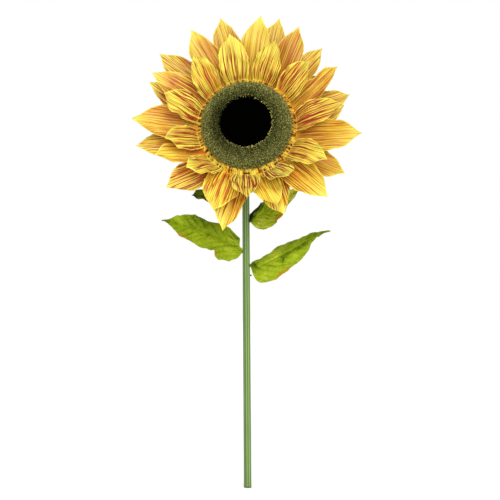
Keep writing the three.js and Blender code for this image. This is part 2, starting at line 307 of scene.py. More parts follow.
# Each ring: level of the roots and tips, pitch at the root, and how its cloth is pleated and printed.
# pleats is their spacing and depth their height. warm is the share of orange, deepen is added to it, and the
# root setting adds more at the root, partly as the print's redder root and partly as painted shade under the
# rings in front. ink is the red-brown in the creases, shade the darkening of the cloth. yellowFrom is
# the share of the length at which the point turns yellow. tuck is how far the root goes in, and its level.
petalRings = {
    "front": {
        "root": -0.011, "tip": 0.095, "pitch": 58,
        "pleats": 0.0044, "depth": 0.0013, "warm": 0.34, "ink": 1.0, "shade": 0.0, "yellowFrom": 0.55,
        "rootOrangeAndShade": 0.30, "deepen": -0.10,
        "tuck": (-0.0085, 0.0070),
    },
    "middle": {
        "root": -0.020, "tip": 0.045, "pitch": 36,
        "pleats": 0.0046, "depth": 0.0009, "warm": 0.50, "ink": 0.90, "shade": 0.18, "yellowFrom": 0.72,
        "rootOrangeAndShade": 0.30, "deepen": 0.05,
        "tuck": (-0.0030, 0.0),
    },
    "back": {
        "root": -0.029, "tip": 0.0, "pitch": 17,
        "pleats": 0.0047, "depth": 0.0009, "warm": 0.50, "ink": 1.3, "shade": 0.25, "yellowFrom": 0.62,
        "rootOrangeAndShade": 0.5, "deepen": 0.08,
        "tuck": (-0.0030, 0.0),
    },
    "rear": {
        "root": -0.037, "tip": -0.024, "pitch": 8,
        "pleats": 0.0047, "depth": 0.0009, "warm": 0.52, "ink": 0.8, "shade": 0.28, "yellowFrom": 0.70,
        "rootOrangeAndShade": 0.5, "deepen": 0.12,
        "tuck": (-0.0030, 0.0),
    },
}

# What a petal has unless its own settings say otherwise. fold lifts both margins, weave spreads its printed
# lines (below 1) or crowds them (above 1), and shift picks another stretch of the print.
petalUsual = {"fold": 0.0, "weave": 1.0, "shift": 0.0}

# ring, name, clock at the root, clock at the point, reach of the point, half width, own settings.
# nips widen or narrow one margin: side (1 is clockwise), share of the length, metres, share it spreads over.
petalList = [
    ("front", "12", 347, 349, 0.231, 0.041, {"warm": -0.14, "ink": 1.0}),
    ("front", "01", 18, 21, 0.221, 0.038, {
        "warm": 0.26, "lean": 0.08, "ink": 1.1,
        "nips": [(-1, 0.74, -0.005, 0.05)],
    }),
    ("front", "02", 47, 49, 0.226, 0.038, {"warm": 0.50, "lean": 0.15, "ink": 1.2}),
    ("front", "03", 84, 83.5, 0.258, 0.037, {"warm": 0.64, "ink": 1.4, "nips": [(-1, 0.62, -0.004, 0.05)]}),
    ("front", "04", 118, 119.5, 0.250, 0.037, {"warm": 0.44, "ink": 1.2, "nips": [(1, 0.75, 0.003, 0.15)]}),
    ("front", "05", 148, 145, 0.212, 0.033, {
        "tip": 0.112, "warm": -0.06, "pleats": 0.0085, "weave": 0.64, "shift": 1.3, "ink": 2.2,
        "nips": [(1, 0.3, 0.011, 0.3), (-1, 0.75, 0.004, 0.15)],
    }),
    ("front", "06", 181.5, 177, 0.225, 0.040, {"warm": -0.20, "pleats": 0.0085, "weave": 0.62, "ink": 2.2}),
    ("front", "07", 220, 226, 0.208, 0.037, {"tip": 0.092, "warm": 0.08, "lean": 0.12}),
    ("front", "08", 255, 253.5, 0.217, 0.036, {"warm": 0.26, "lean": 0.1, "ink": 1.3}),
    ("front", "09", 286, 286, 0.224, 0.038, {
        "warm": 0.02, "weave": 0.80, "ink": 1.7,
        "nips": [(-1, 0.82, 0.010, 0.15)],
    }),
    ("front", "10", 316, 320, 0.219, 0.038, {"warm": 0.30, "ink": 1.15}),
    ("middle", "12", 3, 7, 0.300, 0.043, {
        "warm": 0.14, "lean": -0.14, "weave": 1.25, "ink": 0.6, "shade": 0.28,
    }),
    ("middle", "01", 33, 28, 0.300, 0.041, {
        "warm": 0.74, "weave": 1.2, "ink": 1.3, "shade": 0.44,
        "nips": [(1, 0.80, 0.005, 0.10)],
    }),
    ("middle", "02", 67, 59, 0.286, 0.033, {
        "warm": 0.60, "lean": 0.1, "ink": 1.05, "shade": 0.34,
        "nips": [(1, 0.76, -0.008, 0.13), (-1, 0.64, -0.006, 0.08), (-1, 0.88, 0.007, 0.08)],
    }),
    ("middle", "03", 101, 97, 0.312, 0.046, {
        "warm": 0.42, "lean": -0.20, "weave": 1.3, "ink": 0.8, "shade": 0.28,
        "nips": [(1, 0.7, 0.003, 0.2)],
    }),
    ("middle", "04", 134, 134, 0.305, 0.045, {
        "warm": 0.26, "lean": 0.12, "weave": 1.2, "ink": 0.8, "shade": 0.14, "yellowFrom": 0.55,
    }),
    ("middle", "05", 164, 159.5, 0.252, 0.040, {
        "tip": 0.062, "warm": 0.10, "lean": 0.08, "ink": 0.6, "shade": 0.0,
    }),
    ("middle", "06", 202, 197, 0.264, 0.049, {
        "tip": 0.060, "warm": 0.28, "lean": -0.14, "ink": 0.8, "shade": 0.0,
        "nips": [(-1, 0.80, -0.010, 0.15), (1, 0.5, 0.003, 0.3)],
    }),
    ("middle", "07", 239, 248, 0.258, 0.033, {
        "tip": 0.058, "warm": 0.68, "shade": 0.12, "yellowFrom": 0.5, "rootOrangeAndShade": 0.7,
        "nips": [(1, 0.80, 0.007, 0.12), (-1, 0.45, -0.007, 0.25)],
    }),
    ("middle", "08", 270, 271, 0.305, 0.045, {
        "warm": 0.54, "weave": 1.4, "ink": 0.75, "shade": 0.24, "rootOrangeAndShade": 0.1, "yellowFrom": 0.75,
        "nips": [(1, 0.6, 0.004, 0.25)],
    }),
    ("middle", "09", 301, 298, 0.288, 0.041, {"warm": 0.54, "weave": 1.2, "ink": 1.1, "shade": 0.16}),
    ("middle", "10", 331, 329.5, 0.300, 0.043, {
        "warm": 0.44, "lean": 0.16, "weave": 1.25, "ink": 0.7, "shade": 0.34,
        "nips": [(-1, 0.75, 0.005, 0.10), (1, 0.75, -0.005, 0.15)],
    }),
    ("back", "12", 346, 346, 0.320, 0.042, {"warm": 0.32, "lean": 0.1, "shade": 0.34}),
    ("back", "01", 17, 15.5, 0.318, 0.040, {"warm": 0.32, "shade": 0.40}),
    ("back", "02", 42.5, 43, 0.298, 0.035, {"warm": 0.46, "shade": 0.28, "nips": [(1, 0.75, 0.003, 0.15)]}),
    ("back", "03", 73, 73, 0.291, 0.038, {"warm": 0.54, "shade": 0.52}),
    ("back", "04", 118, 117, 0.298, 0.039, {"warm": 0.60, "shade": 0.58, "nips": [(1, 0.6, 0.003, 0.2)]}),
    ("back", "05", 151, 157.5, 0.268, 0.042, {
        "warm": 0.30, "shade": 0.0, "nips": [(-1, 0.70, -0.010, 0.2), (1, 0.60, 0.006, 0.2)],
    }),
    ("back", "06", 188.5, 191.5, 0.299, 0.040, {
        "fold": 0.28, "warm": 0.38, "lean": -0.50, "ink": 1.1, "shade": 0.14, "yellowFrom": 0.5,
        "nips": [(1, 0.70, 0.005, 0.15), (-1, 0.60, -0.005, 0.2)],
    }),
    ("back", "07", 219, 231, 0.274, 0.042, {
        "warm": 0.68, "ink": 2.1, "shade": 0.12, "rootOrangeAndShade": 0.9, "yellowFrom": 0.5,
        "nips": [(1, 0.55, 0.012, 0.25), (-1, 0.5, -0.004, 0.3)],
    }),
    ("back", "08", 255, 259.5, 0.304, 0.040, {"warm": 0.34, "ink": 1.6, "nips": [(1, 0.60, 0.005, 0.2)]}),
    ("back", "09", 288, 295, 0.296, 0.033, {"warm": 0.44, "shade": 0.0}),
    ("back", "10", 313, 310.5, 0.320, 0.038, {
        "warm": 0.46, "shade": 0.34,
        "nips": [(-1, 0.55, 0.007, 0.25)],
    }),
    ("rear", "01", 58.5, 55, 0.251, 0.038, {}),
    ("rear", "02", 89, 76, 0.271, 0.037, {}),
]


def bezier(start, bend, end, s):
    s = s[..., None]
    place = (1 - s) ** 2 * start + 2 * s * (1 - s) * bend + s ** 2 * end
    along = 2 * (1 - s) * (bend - start) + 2 * s * (end - bend)
    return place, along / np.linalg.norm(along, axis=-1, keepdims=True)


def petalHalf(s, half):
    sizes = petalSizes
    before = half * mix(sizes["rootShare"], 1, np.sin(np.clip(s / sizes["widestAt"], 0, 1) * math.pi / 2))
    past = np.clip((s - sizes["widestAt"]) / (1 - sizes["widestAt"]), 0, 1)
    return np.maximum(sizes["tipHalf"], before * (1 - past ** sizes["fullness"])), before


def pleatField(rng, lane, s, half, spacing, width):
    # Creases run side by side along the cloth, about one spacing apart. Gives how deep each point lies in
    # a crease, from 0 to 1, the crown between two creases and the lane that wanders with them.
    span = petalSizes["laneSpan"]
    count = int(2 * span * half / spacing)
    lines = np.cumsum(rng.uniform(0.45, 1.55, count + 2))
    lines = 2 * span * (lines - lines[0]) / (lines[-1] - lines[0]) - span
    depth = rng.uniform(0.3, 1.0, len(lines)) ** 1.4
    begin = rng.uniform(-0.6, 0.2, len(lines))
    end = rng.uniform(0.55, 1.15, len(lines))
    width = rng.uniform(0.7, 1.3, len(lines)) * width
    drift = rng.uniform(0, 2 * math.pi, 4)
    wander = 0.03 * np.sin(4 * s + drift[0] + 2 * lane) + 0.010 * np.sin(12 * s + drift[1] + 5 * lane)
    x = lane + wander * softStep(s, 0.0, 0.4)
    right = np.clip(np.searchsorted(lines, x), 1, len(lines) - 1)
    left = right - 1
    crease = np.zeros_like(x)
    for k in (left, right):
        strength = depth[k] * softStep(s, begin[k], begin[k] + 0.2) * (1 - softStep(s, end[k] - 0.3, end[k]))
        gap = np.abs(x - lines[k]) * half
        crease = np.maximum(crease, strength * np.exp(-(gap / width[k]) ** 2))
    between = lines[right] - lines[left]
    crown = np.sin(math.pi * np.clip((x - lines[left]) / between, 0, 1))
    return crease, crown, x


def makePetal(index, ring, name, rootClock, tipClock, reach, half, own, material):
    sizes = petalSizes
    look = {**petalRings[ring], **petalUsual, **own}
    rng = np.random.default_rng(4100 + 17 * index)
    look.setdefault("cup", rng.uniform(*sizes["cup"]))
    tucked = np.linspace(-1, 0, sizes["tuckRows"] + 1)[:-1]
    u = np.concatenate([tucked, np.linspace(0, 1, sizes["rows"] + 1)])
    t = np.linspace(-1, 1, sizes["columns"] + 1)
    u, t = np.meshgrid(u, t, indexing="ij")
    s = np.maximum(u, 0)
    width, lanes = petalHalf(s, half)
    phase = rng.uniform(0, 2 * math.pi, 6)
    flankOf = np.sign(t)
    long, middling, short = sizes["ragged"]
    ragged = long * np.sin(15 * s + phase[0] + 2 * flankOf) + middling * np.sin(33 * s + phase[1] - flankOf)
    ragged = ragged + short * np.sin(71 * s + phase[3] + flankOf + 3 * np.sin(9 * s))
    pointed = 1 - 0.3 * softStep(s, 0.82, 0.98)
    width = width * pointed * (1 + ragged * softStep(s, 0.05, 0.3))
    for flank, at, growth, spread in look.get("nips", ()):
        width = width + growth * np.exp(-((s - at) / spread) ** 2) * (np.sign(t) == flank)
    lane = t * width / lanes
    crease, crown, x = pleatField(rng, lane, s, half, look["pleats"], sizes["creaseWidth"])
    gathered = mix(1.0, 0.45, softStep(s, 0.1, 0.9))
    relief = look["depth"] * gathered * (0.6 * crown - 0.9 * crease)
    cup = look["cup"] * width * (t * t - 0.35) * softStep(s, 0.1, 0.6)
    ruffle = sizes["ruffle"] * np.sin(19 * s + phase[2] + 1.5 * flankOf)
    ruffle = ruffle * np.abs(t) ** 3 * softStep(s, 0.2, 0.5)
    buckle = sizes["buckle"] * np.sin(3.2 * lane + phase[4] + 3 * s)
    buckle = buckle * np.sin(7 * s + phase[5]) * softStep(s, 0.1, 0.4)
    curl = rng.uniform(*sizes["curl"], 2)
    rolled = np.where(t > 0, curl[0], curl[1]) * softStep(np.abs(t), 0.72, 1.0) * softStep(s, 0.15, 0.4)
    fold = look["fold"] * width * np.abs(t) * np.sin(math.pi / 2 * np.clip(s, 0, 1))
    pitch = math.radians(look["pitch"])
    start = np.array([sizes["wallRadius"], look["root"]])
    end = np.array([reach, look["tip"]])
    length = float(np.linalg.norm(end - start))
    bend = start + np.array([math.cos(pitch), math.sin(pitch)]) * sizes["bow"] * length
    on, along = bezier(start, bend, end, s)
    normal = np.stack([-along[..., 1], along[..., 0]], -1)
    # the root is tucked over the collar's lip, or into its wall
    tuck = np.maximum(-u, 0)[..., None]
    on = on + tuck ** 1.2 * np.array(look["tuck"])
    clock = mix(rootClock, tipClock, s)
    sides = []
    for side in (1, -1):
        offset = relief + cup + ruffle + buckle + rolled + fold + side * sizes["thickness"] / 2
        place = on + normal * offset[..., None]
        turn = np.degrees(t * width / on[..., 0])
        sides.append(onHead(clock + turn, place[..., 0], place[..., 1]).reshape(-1, 3))
    faces, rim = sheetFaces(sizes["rows"] + sizes["tuckRows"], sizes["columns"])
    margin = np.minimum(width * (1 - np.abs(t)), (1 - s) * length * 0.6) * 1000
    once = {
        "lane": x * half * 1000 * look["weave"],
        "reach": s * length * 1000,
        "share": s,
        "crease": crease,
        "rootOrangeAndShade": np.full_like(s, look["rootOrangeAndShade"]),
        "tuck": np.maximum(-u, 0),
        "crown": crown,
        "margin": margin,
        "warm": look["warm"] + look["deepen"] + look.get("lean", 0) * t,
        "ink": np.full_like(s, look["ink"]),
        "shade": np.full_like(s, look["shade"]),
        "yellowFrom": np.full_like(s, look["yellowFrom"]),
        "batch": np.full_like(s, 3.7 * index + look["shift"]),
    }
    attributes = {key: np.concatenate([v.ravel(), v.ravel()]) for key, v in once.items()}
    return newPiece(f"petal_{ring}_{name}_cloth", np.concatenate(sides), faces, material, rim, attributes)


petalColours = {
    "pale": (248, 235, 86),
    "yellow": (248, 218, 54),
    "golden": (242, 186, 46),
    "orange": (236, 149, 42),
    "russet": (214, 103, 33),
    "ink": (160, 50, 12),
    "ochre": (174, 126, 12),
}


def petalMaterial(name, gloss, fineness):
    material, g, shader = newMaterial(name, 0.5, specular=0.5, sheen=0.05)
    colours = petalColours
    lane = g.attribute("lane")
    reach = g.attribute("reach")
    share = g.attribute("share")
    batch = g.attribute("batch")
    margin = g.attribute("margin")
    crease = g.attribute("crease")
    crown = g.attribute("crown")
    wobble = g.noise(g.vector(lane * 0.07, reach * 0.045, batch + 5.0), 1.0, 1.0) - 0.5
    lane = (lane + wobble * 2.4) * fineness
    fine = g.noise(g.vector(lane * 0.36, reach * 0.008, batch), 1.0, 1.0, 0.6)
    thread = (g.noise(g.vector(lane * 0.22, reach * 0.006, batch + 31.0), 1.0, 0.0) - 0.5).maths("ABSOLUTE")
    hair = (g.noise(g.vector(lane * 0.34, reach * 0.009, batch + 47.0), 1.0, 0.0) - 0.5).maths("ABSOLUTE")
    broad = g.noise(g.vector(lane * 0.10, reach * 0.014, batch + 9.0), 1.0, 1.0)
    patch = g.noise(g.vector(lane * 0.035, reach * 0.03, batch + 21.0), 1.0, 1.0)
    tuck = g.attribute("tuck")
    upper = g.node("ShaderNodeSeparateXYZ", {}, {"Vector": g.place()}, "Z").smooth(0.88, 0.95)
    lip = tuck * (0.7 - upper * 0.5)
    tip = (share + (broad - 0.5) * 0.35).smooth(g.attribute("yellowFrom"), 1.02)
    edge = 1 - (margin + (fine - 0.5) * 6).smooth(0.5, 6.0)
    # towards the root the ink grows stronger, partly as painted shade where the petals crowd by the disc
    strength = g.attribute("ink") * (1.25 - share * 0.7) * (0.1 + broad * 1.7) * (1 - edge * 0.4)
    strength = strength * (0.4 + share.smooth(0.0, 0.12) * 0.6)
    # warmer along the printed lines and creases; the crown term is painted highlight, paler on the pleats'
    # crowns, and painted shade, warmer down their walls
    creaseHaloAndCrownHighlight = (1 - thread.smooth(0.0, 0.16)) * 0.45 + crease * 0.45 + (0.62 - crown) * 0.85
    heat = g.attribute("warm") + (fine - 0.5) * (1.2 + g.attribute("ink") * 1.8) * (1 - tip * 0.4)
    heat = heat + (broad - 0.5) * 0.7 + (patch - 0.5) * 0.6
    # more orange towards the root: partly the print's redder root, partly painted shade where the rings in
    # front shade the roots
    heat = heat - lip + (0.5 - share) * g.attribute("rootOrangeAndShade")
    heat = heat - tip * 0.40 - edge * 0.30 + (creaseHaloAndCrownHighlight - 0.25) * strength
    stops = [
        (0.0, colours["pale"]),
        (0.25, colours["yellow"]),
        (0.48, colours["golden"]),
        (0.72, colours["orange"]),
        (1.0, colours["russet"]),
    ]
    colour = g.ramp(heat.clamped(), stops)
    core = (1 - thread.smooth(0.0, 0.08)) * 1.1 + (1 - hair.smooth(0.0, 0.07)) * patch * 1.1
    inked = (crease * 0.9 + core) * strength
    colour = g.blend(inked.clamped(), colour, colours["ink"])
    colour = g.blend((g.attribute("shade") * (1.1 - tip * 0.6)).clamped(), colour, colours["ochre"])
    # painted highlight: a pale line along the margins, where the rolled edges catch the light
    paleMarginHighlight = (1 - margin.smooth(0.8, 3.6)) * (fine - 0.2).clamped() * 1.4
    colour = g.blend(paleMarginHighlight.clamped(), colour, colours["pale"])
    # painted shade: the tucked roots darken to brown, most at the top of the head
    paintedShade = tuck.smooth(0.02, 0.4) * (0.25 + upper * 0.75) * (0.15 + broad.smooth(0.38, 0.62))
    colour = g.blend(paintedShade.clamped() * 0.85, colour, (112, 74, 12))
    # painted shadow: dark spots in the gaps between the petals' tucked roots
    gap = broad.smooth(0.50, 0.58) * tuck.smooth(0.1, 0.3) * (1 - tuck.smooth(0.6, 0.85))
    colour = g.blend(gap, colour, (64, 32, 4))
    relief = fine * 1.5 - inked
    rough = (0.42 + fine * 0.2) - gloss
    finishMaterial(g, shader, colour, relief, 0.3, 0.0004, rough)
    return material


petalMaterials = {
    "front": petalMaterial("petalClothFront", 0.05, 1.12),
    "middle": petalMaterial("petalClothMiddle", 0.05, 1.22),
    "back": petalMaterial("petalClothBack", 0.0, 1.05),
}

for index, (ring, name, rootClock, tipClock, reach, half, own) in enumerate(petalList):
    slotRing = "back" if ring == "rear" else ring
    cloth = makePetal(index, ring, name, rootClock, tipClock, reach, half, own, petalMaterials[slotRing])
    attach(cloth, "root")
    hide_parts(f"petal_{ring}_{name}")
print("petals made:", len(petalList))


# Disc

disc = {
    "radius": 0.123,
    "seedRadius": 0.0695,
    "height": 0.037,
    "crestOut": 0.009,
    "innerDrop": 0.0035,
    "seedDish": 0.005,
    "under": -0.0007,
    "around": 192,
    "steps": 28,
    "lift": 0.0013,
    "tuftSpacing": 0.0014,
    "tuftRadius": 0.0009,
    "tuftHeight": 0.0024,
    "tuftTilt": 0.55,
    "tuftScale": (0.6, 1.3),
    "tuftDensity": 900000.0,
    "blackSpacing": 0.0019,
    "blackHeight": 0.0022,
    "underInset": 0.005,
    "ringGap": 0.0003,  # from the seeds' edge to the green ring
    "seedGap": 0.0002,  # from the seeds' edge to the black centre
    "dishSteps": 14,
    "greenSeed": 12,
    "blackSeed": 40,
}


def turnedPiece(name, profile, segments, material, close=False):
    # profile holds [radius, level] pairs from the back of the axis round the outside to the front
    profile = np.array(profile)
    count = len(profile)
    clocks = np.arange(segments) * 360 / segments
    points = onHead(
        np.repeat(clocks, count), np.tile(profile[:, 0], segments), np.tile(profile[:, 1], segments)
    )
    faces = ringFaces(segments, count, count if close else count - 1)
    made = newPiece(name, points, faces, material)
    cleanMesh(made.data)
    return made


def cleanMesh(mesh):
    work = bmesh.new()
    work.from_mesh(mesh)
    bmesh.ops.remove_doubles(work, verts=work.verts, dist=1e-6)
    bmesh.ops.dissolve_degenerate(work, dist=1e-7, edges=work.edges)
    bmesh.ops.recalc_face_normals(work, faces=work.faces)
    work.to_mesh(mesh)
    work.free()
    for polygon in mesh.polygons:
        polygon.use_smooth = True


def newGeometryTree(name, inputs):
    tree = bpy.data.node_groups.new(name, "GeometryNodeTree")
    tree.interface.new_socket("Geometry", in_out="INPUT", socket_type="NodeSocketGeometry")
    for label, kind in inputs.items():
        tree.interface.new_socket(label, in_out="INPUT", socket_type=kind)
    tree.interface.new_socket("Geometry", in_out="OUTPUT", socket_type="NodeSocketGeometry")
    graph = Graph(tree)
    entry = tree.nodes.new("NodeGroupInput")
    return graph, {socket.name: Wire(graph, socket) for socket in entry.outputs if socket.name}


def bakeTree(piece, graph, values):
    modifier = piece.modifiers.new("shape", "NODES")
    modifier.node_group = graph.tree
    for item in graph.tree.interface.items_tree:
        if item.in_out == "INPUT" and item.name in values:
            modifier[item.identifier] = values[item.name]
    bpy.context.view_layer.update()
    depsgraph = bpy.context.evaluated_depsgraph_get()
    mesh = bpy.data.meshes.new_from_object(
        piece.evaluated_get(depsgraph), preserve_all_data_layers=True, depsgraph=depsgraph
    )
    piece.modifiers.remove(modifier)
    piece.data = mesh
    return piece


def tuftTree():
    # short tufts stand all over a surface, each with its own tilt, size and shade
    graph, given = newGeometryTree("flockTufts", {
        "Spacing": "NodeSocketFloat",
        "Tuft Radius": "NodeSocketFloat",
        "Tuft Height": "NodeSocketFloat",
        "Seed": "NodeSocketInt",
        "Material": "NodeSocketMaterial",
    })
    g = graph
    spread = g.node("GeometryNodeDistributePointsOnFaces", {"distribute_method": "POISSON"}, {
        "Mesh": given["Geometry"],
        "Distance Min": given["Spacing"],
        "Density Max": disc["tuftDensity"],
        "Seed": given["Seed"],
    })
    turn = Wire(g, spread.socket.node.outputs["Rotation"])
    tuft = g.node("GeometryNodeMeshCone", {}, {
        "Vertices": 4,
        "Radius Top": 0.0,
        "Radius Bottom": given["Tuft Radius"],
        "Depth": given["Tuft Height"],
    })
    lean = disc["tuftTilt"]
    smallest, largest = disc["tuftScale"]
    tilt = g.node("FunctionNodeRandomValue", {"data_type": "FLOAT_VECTOR"}, {
        0: (-lean, -lean, -3.1),
        1: (lean, lean, 3.1),
        "Seed": given["Seed"] + 1,
    })
    tilt = g.node("FunctionNodeEulerToRotation", {}, {0: tilt})
    turn = g.node("FunctionNodeRotateRotation", {"rotation_space": "LOCAL"}, {0: turn, 1: tilt})
    size = g.node("FunctionNodeRandomValue", {"data_type": "FLOAT"}, {
        2: smallest,
        3: largest,
        "Seed": given["Seed"] + 2,
    }, 1)
    placed = g.node("GeometryNodeInstanceOnPoints", {}, {
        "Points": spread, "Instance": tuft, "Rotation": turn, "Scale": size,
    })
    tone = g.node("FunctionNodeRandomValue", {"data_type": "FLOAT"}, {
        2: 0.0,
        3: 1.0,
        "Seed": given["Seed"] + 3,
    }, 1)
    placed = g.node("GeometryNodeStoreNamedAttribute", {"data_type": "FLOAT", "domain": "INSTANCE"}, {
        "Geometry": placed, "Name": "tuft", "Value": tone,
    })
    real = g.node("GeometryNodeRealizeInstances", {}, {"Geometry": placed})
    joined = g.node("GeometryNodeJoinGeometry")
    g.tree.links.new(real.socket, joined.socket.node.inputs[0])
    g.tree.links.new(given["Geometry"].socket, joined.socket.node.inputs[0])
    done = g.node("GeometryNodeSetMaterial", {}, {"Geometry": joined, "Material": given["Material"]})
    result = g.tree.nodes.new("NodeGroupOutput")
    g.tree.links.new(done.socket, result.inputs[0])
    return graph


def headReach(g):
    # millimetres from the head's axis, for rings of colour
    turn = headFrame.to_3x3()
    axis = turn @ Vector((0, -1, 0))
    moved = g.node("ShaderNodeVectorMath", {"operation": "SUBTRACT"}, {0: g.place(), 1: head["centre"]})
    level = g.node("ShaderNodeVectorMath", {"operation": "DOT_PRODUCT"}, {0: moved, 1: axis}, "Value")
    whole = g.node("ShaderNodeVectorMath", {"operation": "LENGTH"}, {0: moved}, "Value")
    return (whole * whole - level * level).maths("SQRT") * 1000


flockColours = {
    "deep": (23, 25, 10),
    "olive": (79, 81, 38),
    "moss": (131, 131, 67),
    "tip": (208, 206, 128),
    "border": (244, 236, 124),
}


def flockMaterial():
    material, g, shader = newMaterial("flockGreen", 0.95, specular=0.05)
    colours = flockColours
    out = headReach(g)
    tuft = g.attribute("tuft")
    cloud = g.noise(g.place(), 55.0, 3.0, 0.6)
    grain = g.noise(g.place(), 620.0, 2.0, 0.6)
    side = g.node("ShaderNodeSeparateXYZ", {}, {"Vector": g.place()}, "X") * 1000
    # painted light and shade: the flock grows lighter towards the outer rim and darker on the inner left
    climb = out.smooth(66.0, 112.0)
    left = (1 - side.smooth(-100.0, -30.0)) * (1 - climb)
    value = 0.39 + climb * 0.22 + (tuft - 0.5) * 0.75 + (grain - 0.5) * 0.9
    value = value + (cloud - 0.5) * 0.20 - left * 0.26
    stops = [
        (0.0, colours["deep"]),
        (0.35, colours["olive"]),
        (0.65, colours["moss"]),
        (1.0, colours["tip"]),
    ]
    colour = g.ramp(value.clamped(), stops)
    near = 1 - (out + (grain - 0.5) * 4).smooth(71.0, 73.8)
    colour = g.blend(near, colour, (4, 5, 2))
    speck = tuft.smooth(0.66, 0.76) * (1 - out.smooth(73.0, 78.0)) * side.smooth(-90.0, 20.0)
    colour = g.blend(speck, colour, colours["border"])
    finishMaterial(g, shader, colour, grain, 0.4, 0.0006)
    return material


def seedMaterial():
    material, g, shader = newMaterial("flockBlack", 1.0, specular=0.0)
    grain = g.noise(g.place(), 380.0, 2.0, 0.6)
    stops = [(0.0, (0, 0, 0)), (0.6, (3, 3, 2)), (1.0, (9, 9, 6))]
    colour = g.ramp((g.attribute("tuft") * 0.5 + grain * 0.5).clamped(), stops)
    finishMaterial(g, shader, colour, grain, 0.4, 0.0006)
    return material


def makeDisc():
    sizes = disc
    inner = sizes["seedRadius"] + sizes["ringGap"]
    angles = np.linspace(0, math.pi / 2, sizes["steps"])
    pillow = [
        (
            mix(inner + sizes["crestOut"], sizes["radius"] - sizes["lift"], math.cos(a)),
            (sizes["height"] - sizes["lift"]) * math.sin(a),
        )
        for a in angles
    ]
    profile = [
        (inner, sizes["under"]),
        (sizes["radius"] - sizes["underInset"], sizes["under"]),
        *pillow,
        (inner + sizes["crestOut"] / 3, sizes["height"] - sizes["innerDrop"] / 3),
        (inner, sizes["height"] - sizes["innerDrop"]),
    ]
    green = turnedPiece("disc_flock", profile, sizes["around"], flockMaterial(), close=True)
    tree = tuftTree()
    bakeTree(green, tree, {
        "Spacing": sizes["tuftSpacing"],
        "Tuft Radius": sizes["tuftRadius"],
        "Tuft Height": sizes["tuftHeight"],
        "Seed": sizes["greenSeed"],
        "Material": green.data.materials[0],
    })
    radius = sizes["seedRadius"] - sizes["seedGap"]
    shares = np.linspace(1, 0, sizes["dishSteps"])
    top = sizes["height"] - sizes["innerDrop"]
    dish = [(radius * k, top - sizes["seedDish"] * (1 - k * k)) for k in shares]
    profile = [(0, sizes["under"]), (radius, sizes["under"]), *dish]
    black = turnedPiece("seed_flock", profile, sizes["around"], seedMaterial())
    bakeTree(black, tree, {
        "Spacing": sizes["blackSpacing"],
        "Tuft Radius": sizes["tuftRadius"],
        "Tuft Height": sizes["blackHeight"],
        "Seed": sizes["blackSeed"],
        "Material": black.data.materials[0],
    })
    return green, black


discFlock, seedFlock = makeDisc()
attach(discFlock, "root")
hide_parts("disc_rim")
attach(seedFlock, "root")
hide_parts("seed_centre")
print("disc made:", len(discFlock.data.polygons), "and", len(seedFlock.data.polygons), "faces")


# Collar: the gathered yellow cloth that carries the petals

collar = {
    "radius": 0.1355,
    "back": -0.044,
    "chamfer": 0.005,
    "around": 900,
    "folds": 120,
    "foldDepth": 0.0022,
    "foldWidth": 0.8,  # degrees
    "slotWidth": 1.2,  # degrees, of the dark gaps between the front petals
    "lip": [  # how far in from the radius and at what level, from the wall round to the flat
        (0, -0.030), (0, -0.018), (0.0005, -0.0145), (0.0020, -0.0115), (0.0045, -0.0085),
        (0.0075, -0.0060), (0.0105, -0.0040), (0.0135, -0.0028),
    ],
    "flatRadius": 0.116,
    "flatLevel": -0.0020,
}


def collarMaterial():
    material, g, shader = newMaterial("collarCloth", 0.7, specular=0.3)
    fold = g.attribute("crease")
    cloud = g.noise(g.place(), 130.0, 3.0, 0.6)
    fine = g.noise(g.place(), 420.0, 2.0, 0.6)
    stops = [
        (0.0, (255, 232, 84)),
        (0.25, (236, 184, 40)),
        (0.5, (170, 114, 20)),
        (0.75, (92, 54, 8)),
        (1.0, (24, 10, 2)),
    ]
    out = headReach(g)
    side = g.node("ShaderNodeSeparateXYZ", {}, {"Vector": g.place()}, "X").maths("ABSOLUTE") * 1000
    shadow = (1 - out.smooth(124.0, 130.0)) * side.smooth(50.0, 100.0)
    # painted shade: the folds and the slots between the petals darken the cloth, and the band by the disc on
    # the left and right is a painted shadow
    value = 0.13 + fold * 0.6 + (cloud - 0.5) * 1.5 + (fine - 0.5) * 0.8 + shadow * 0.32
    colour = g.ramp(value.clamped(), stops)
    finishMaterial(g, shader, colour, fine, 0.3, 0.0004)
    return material


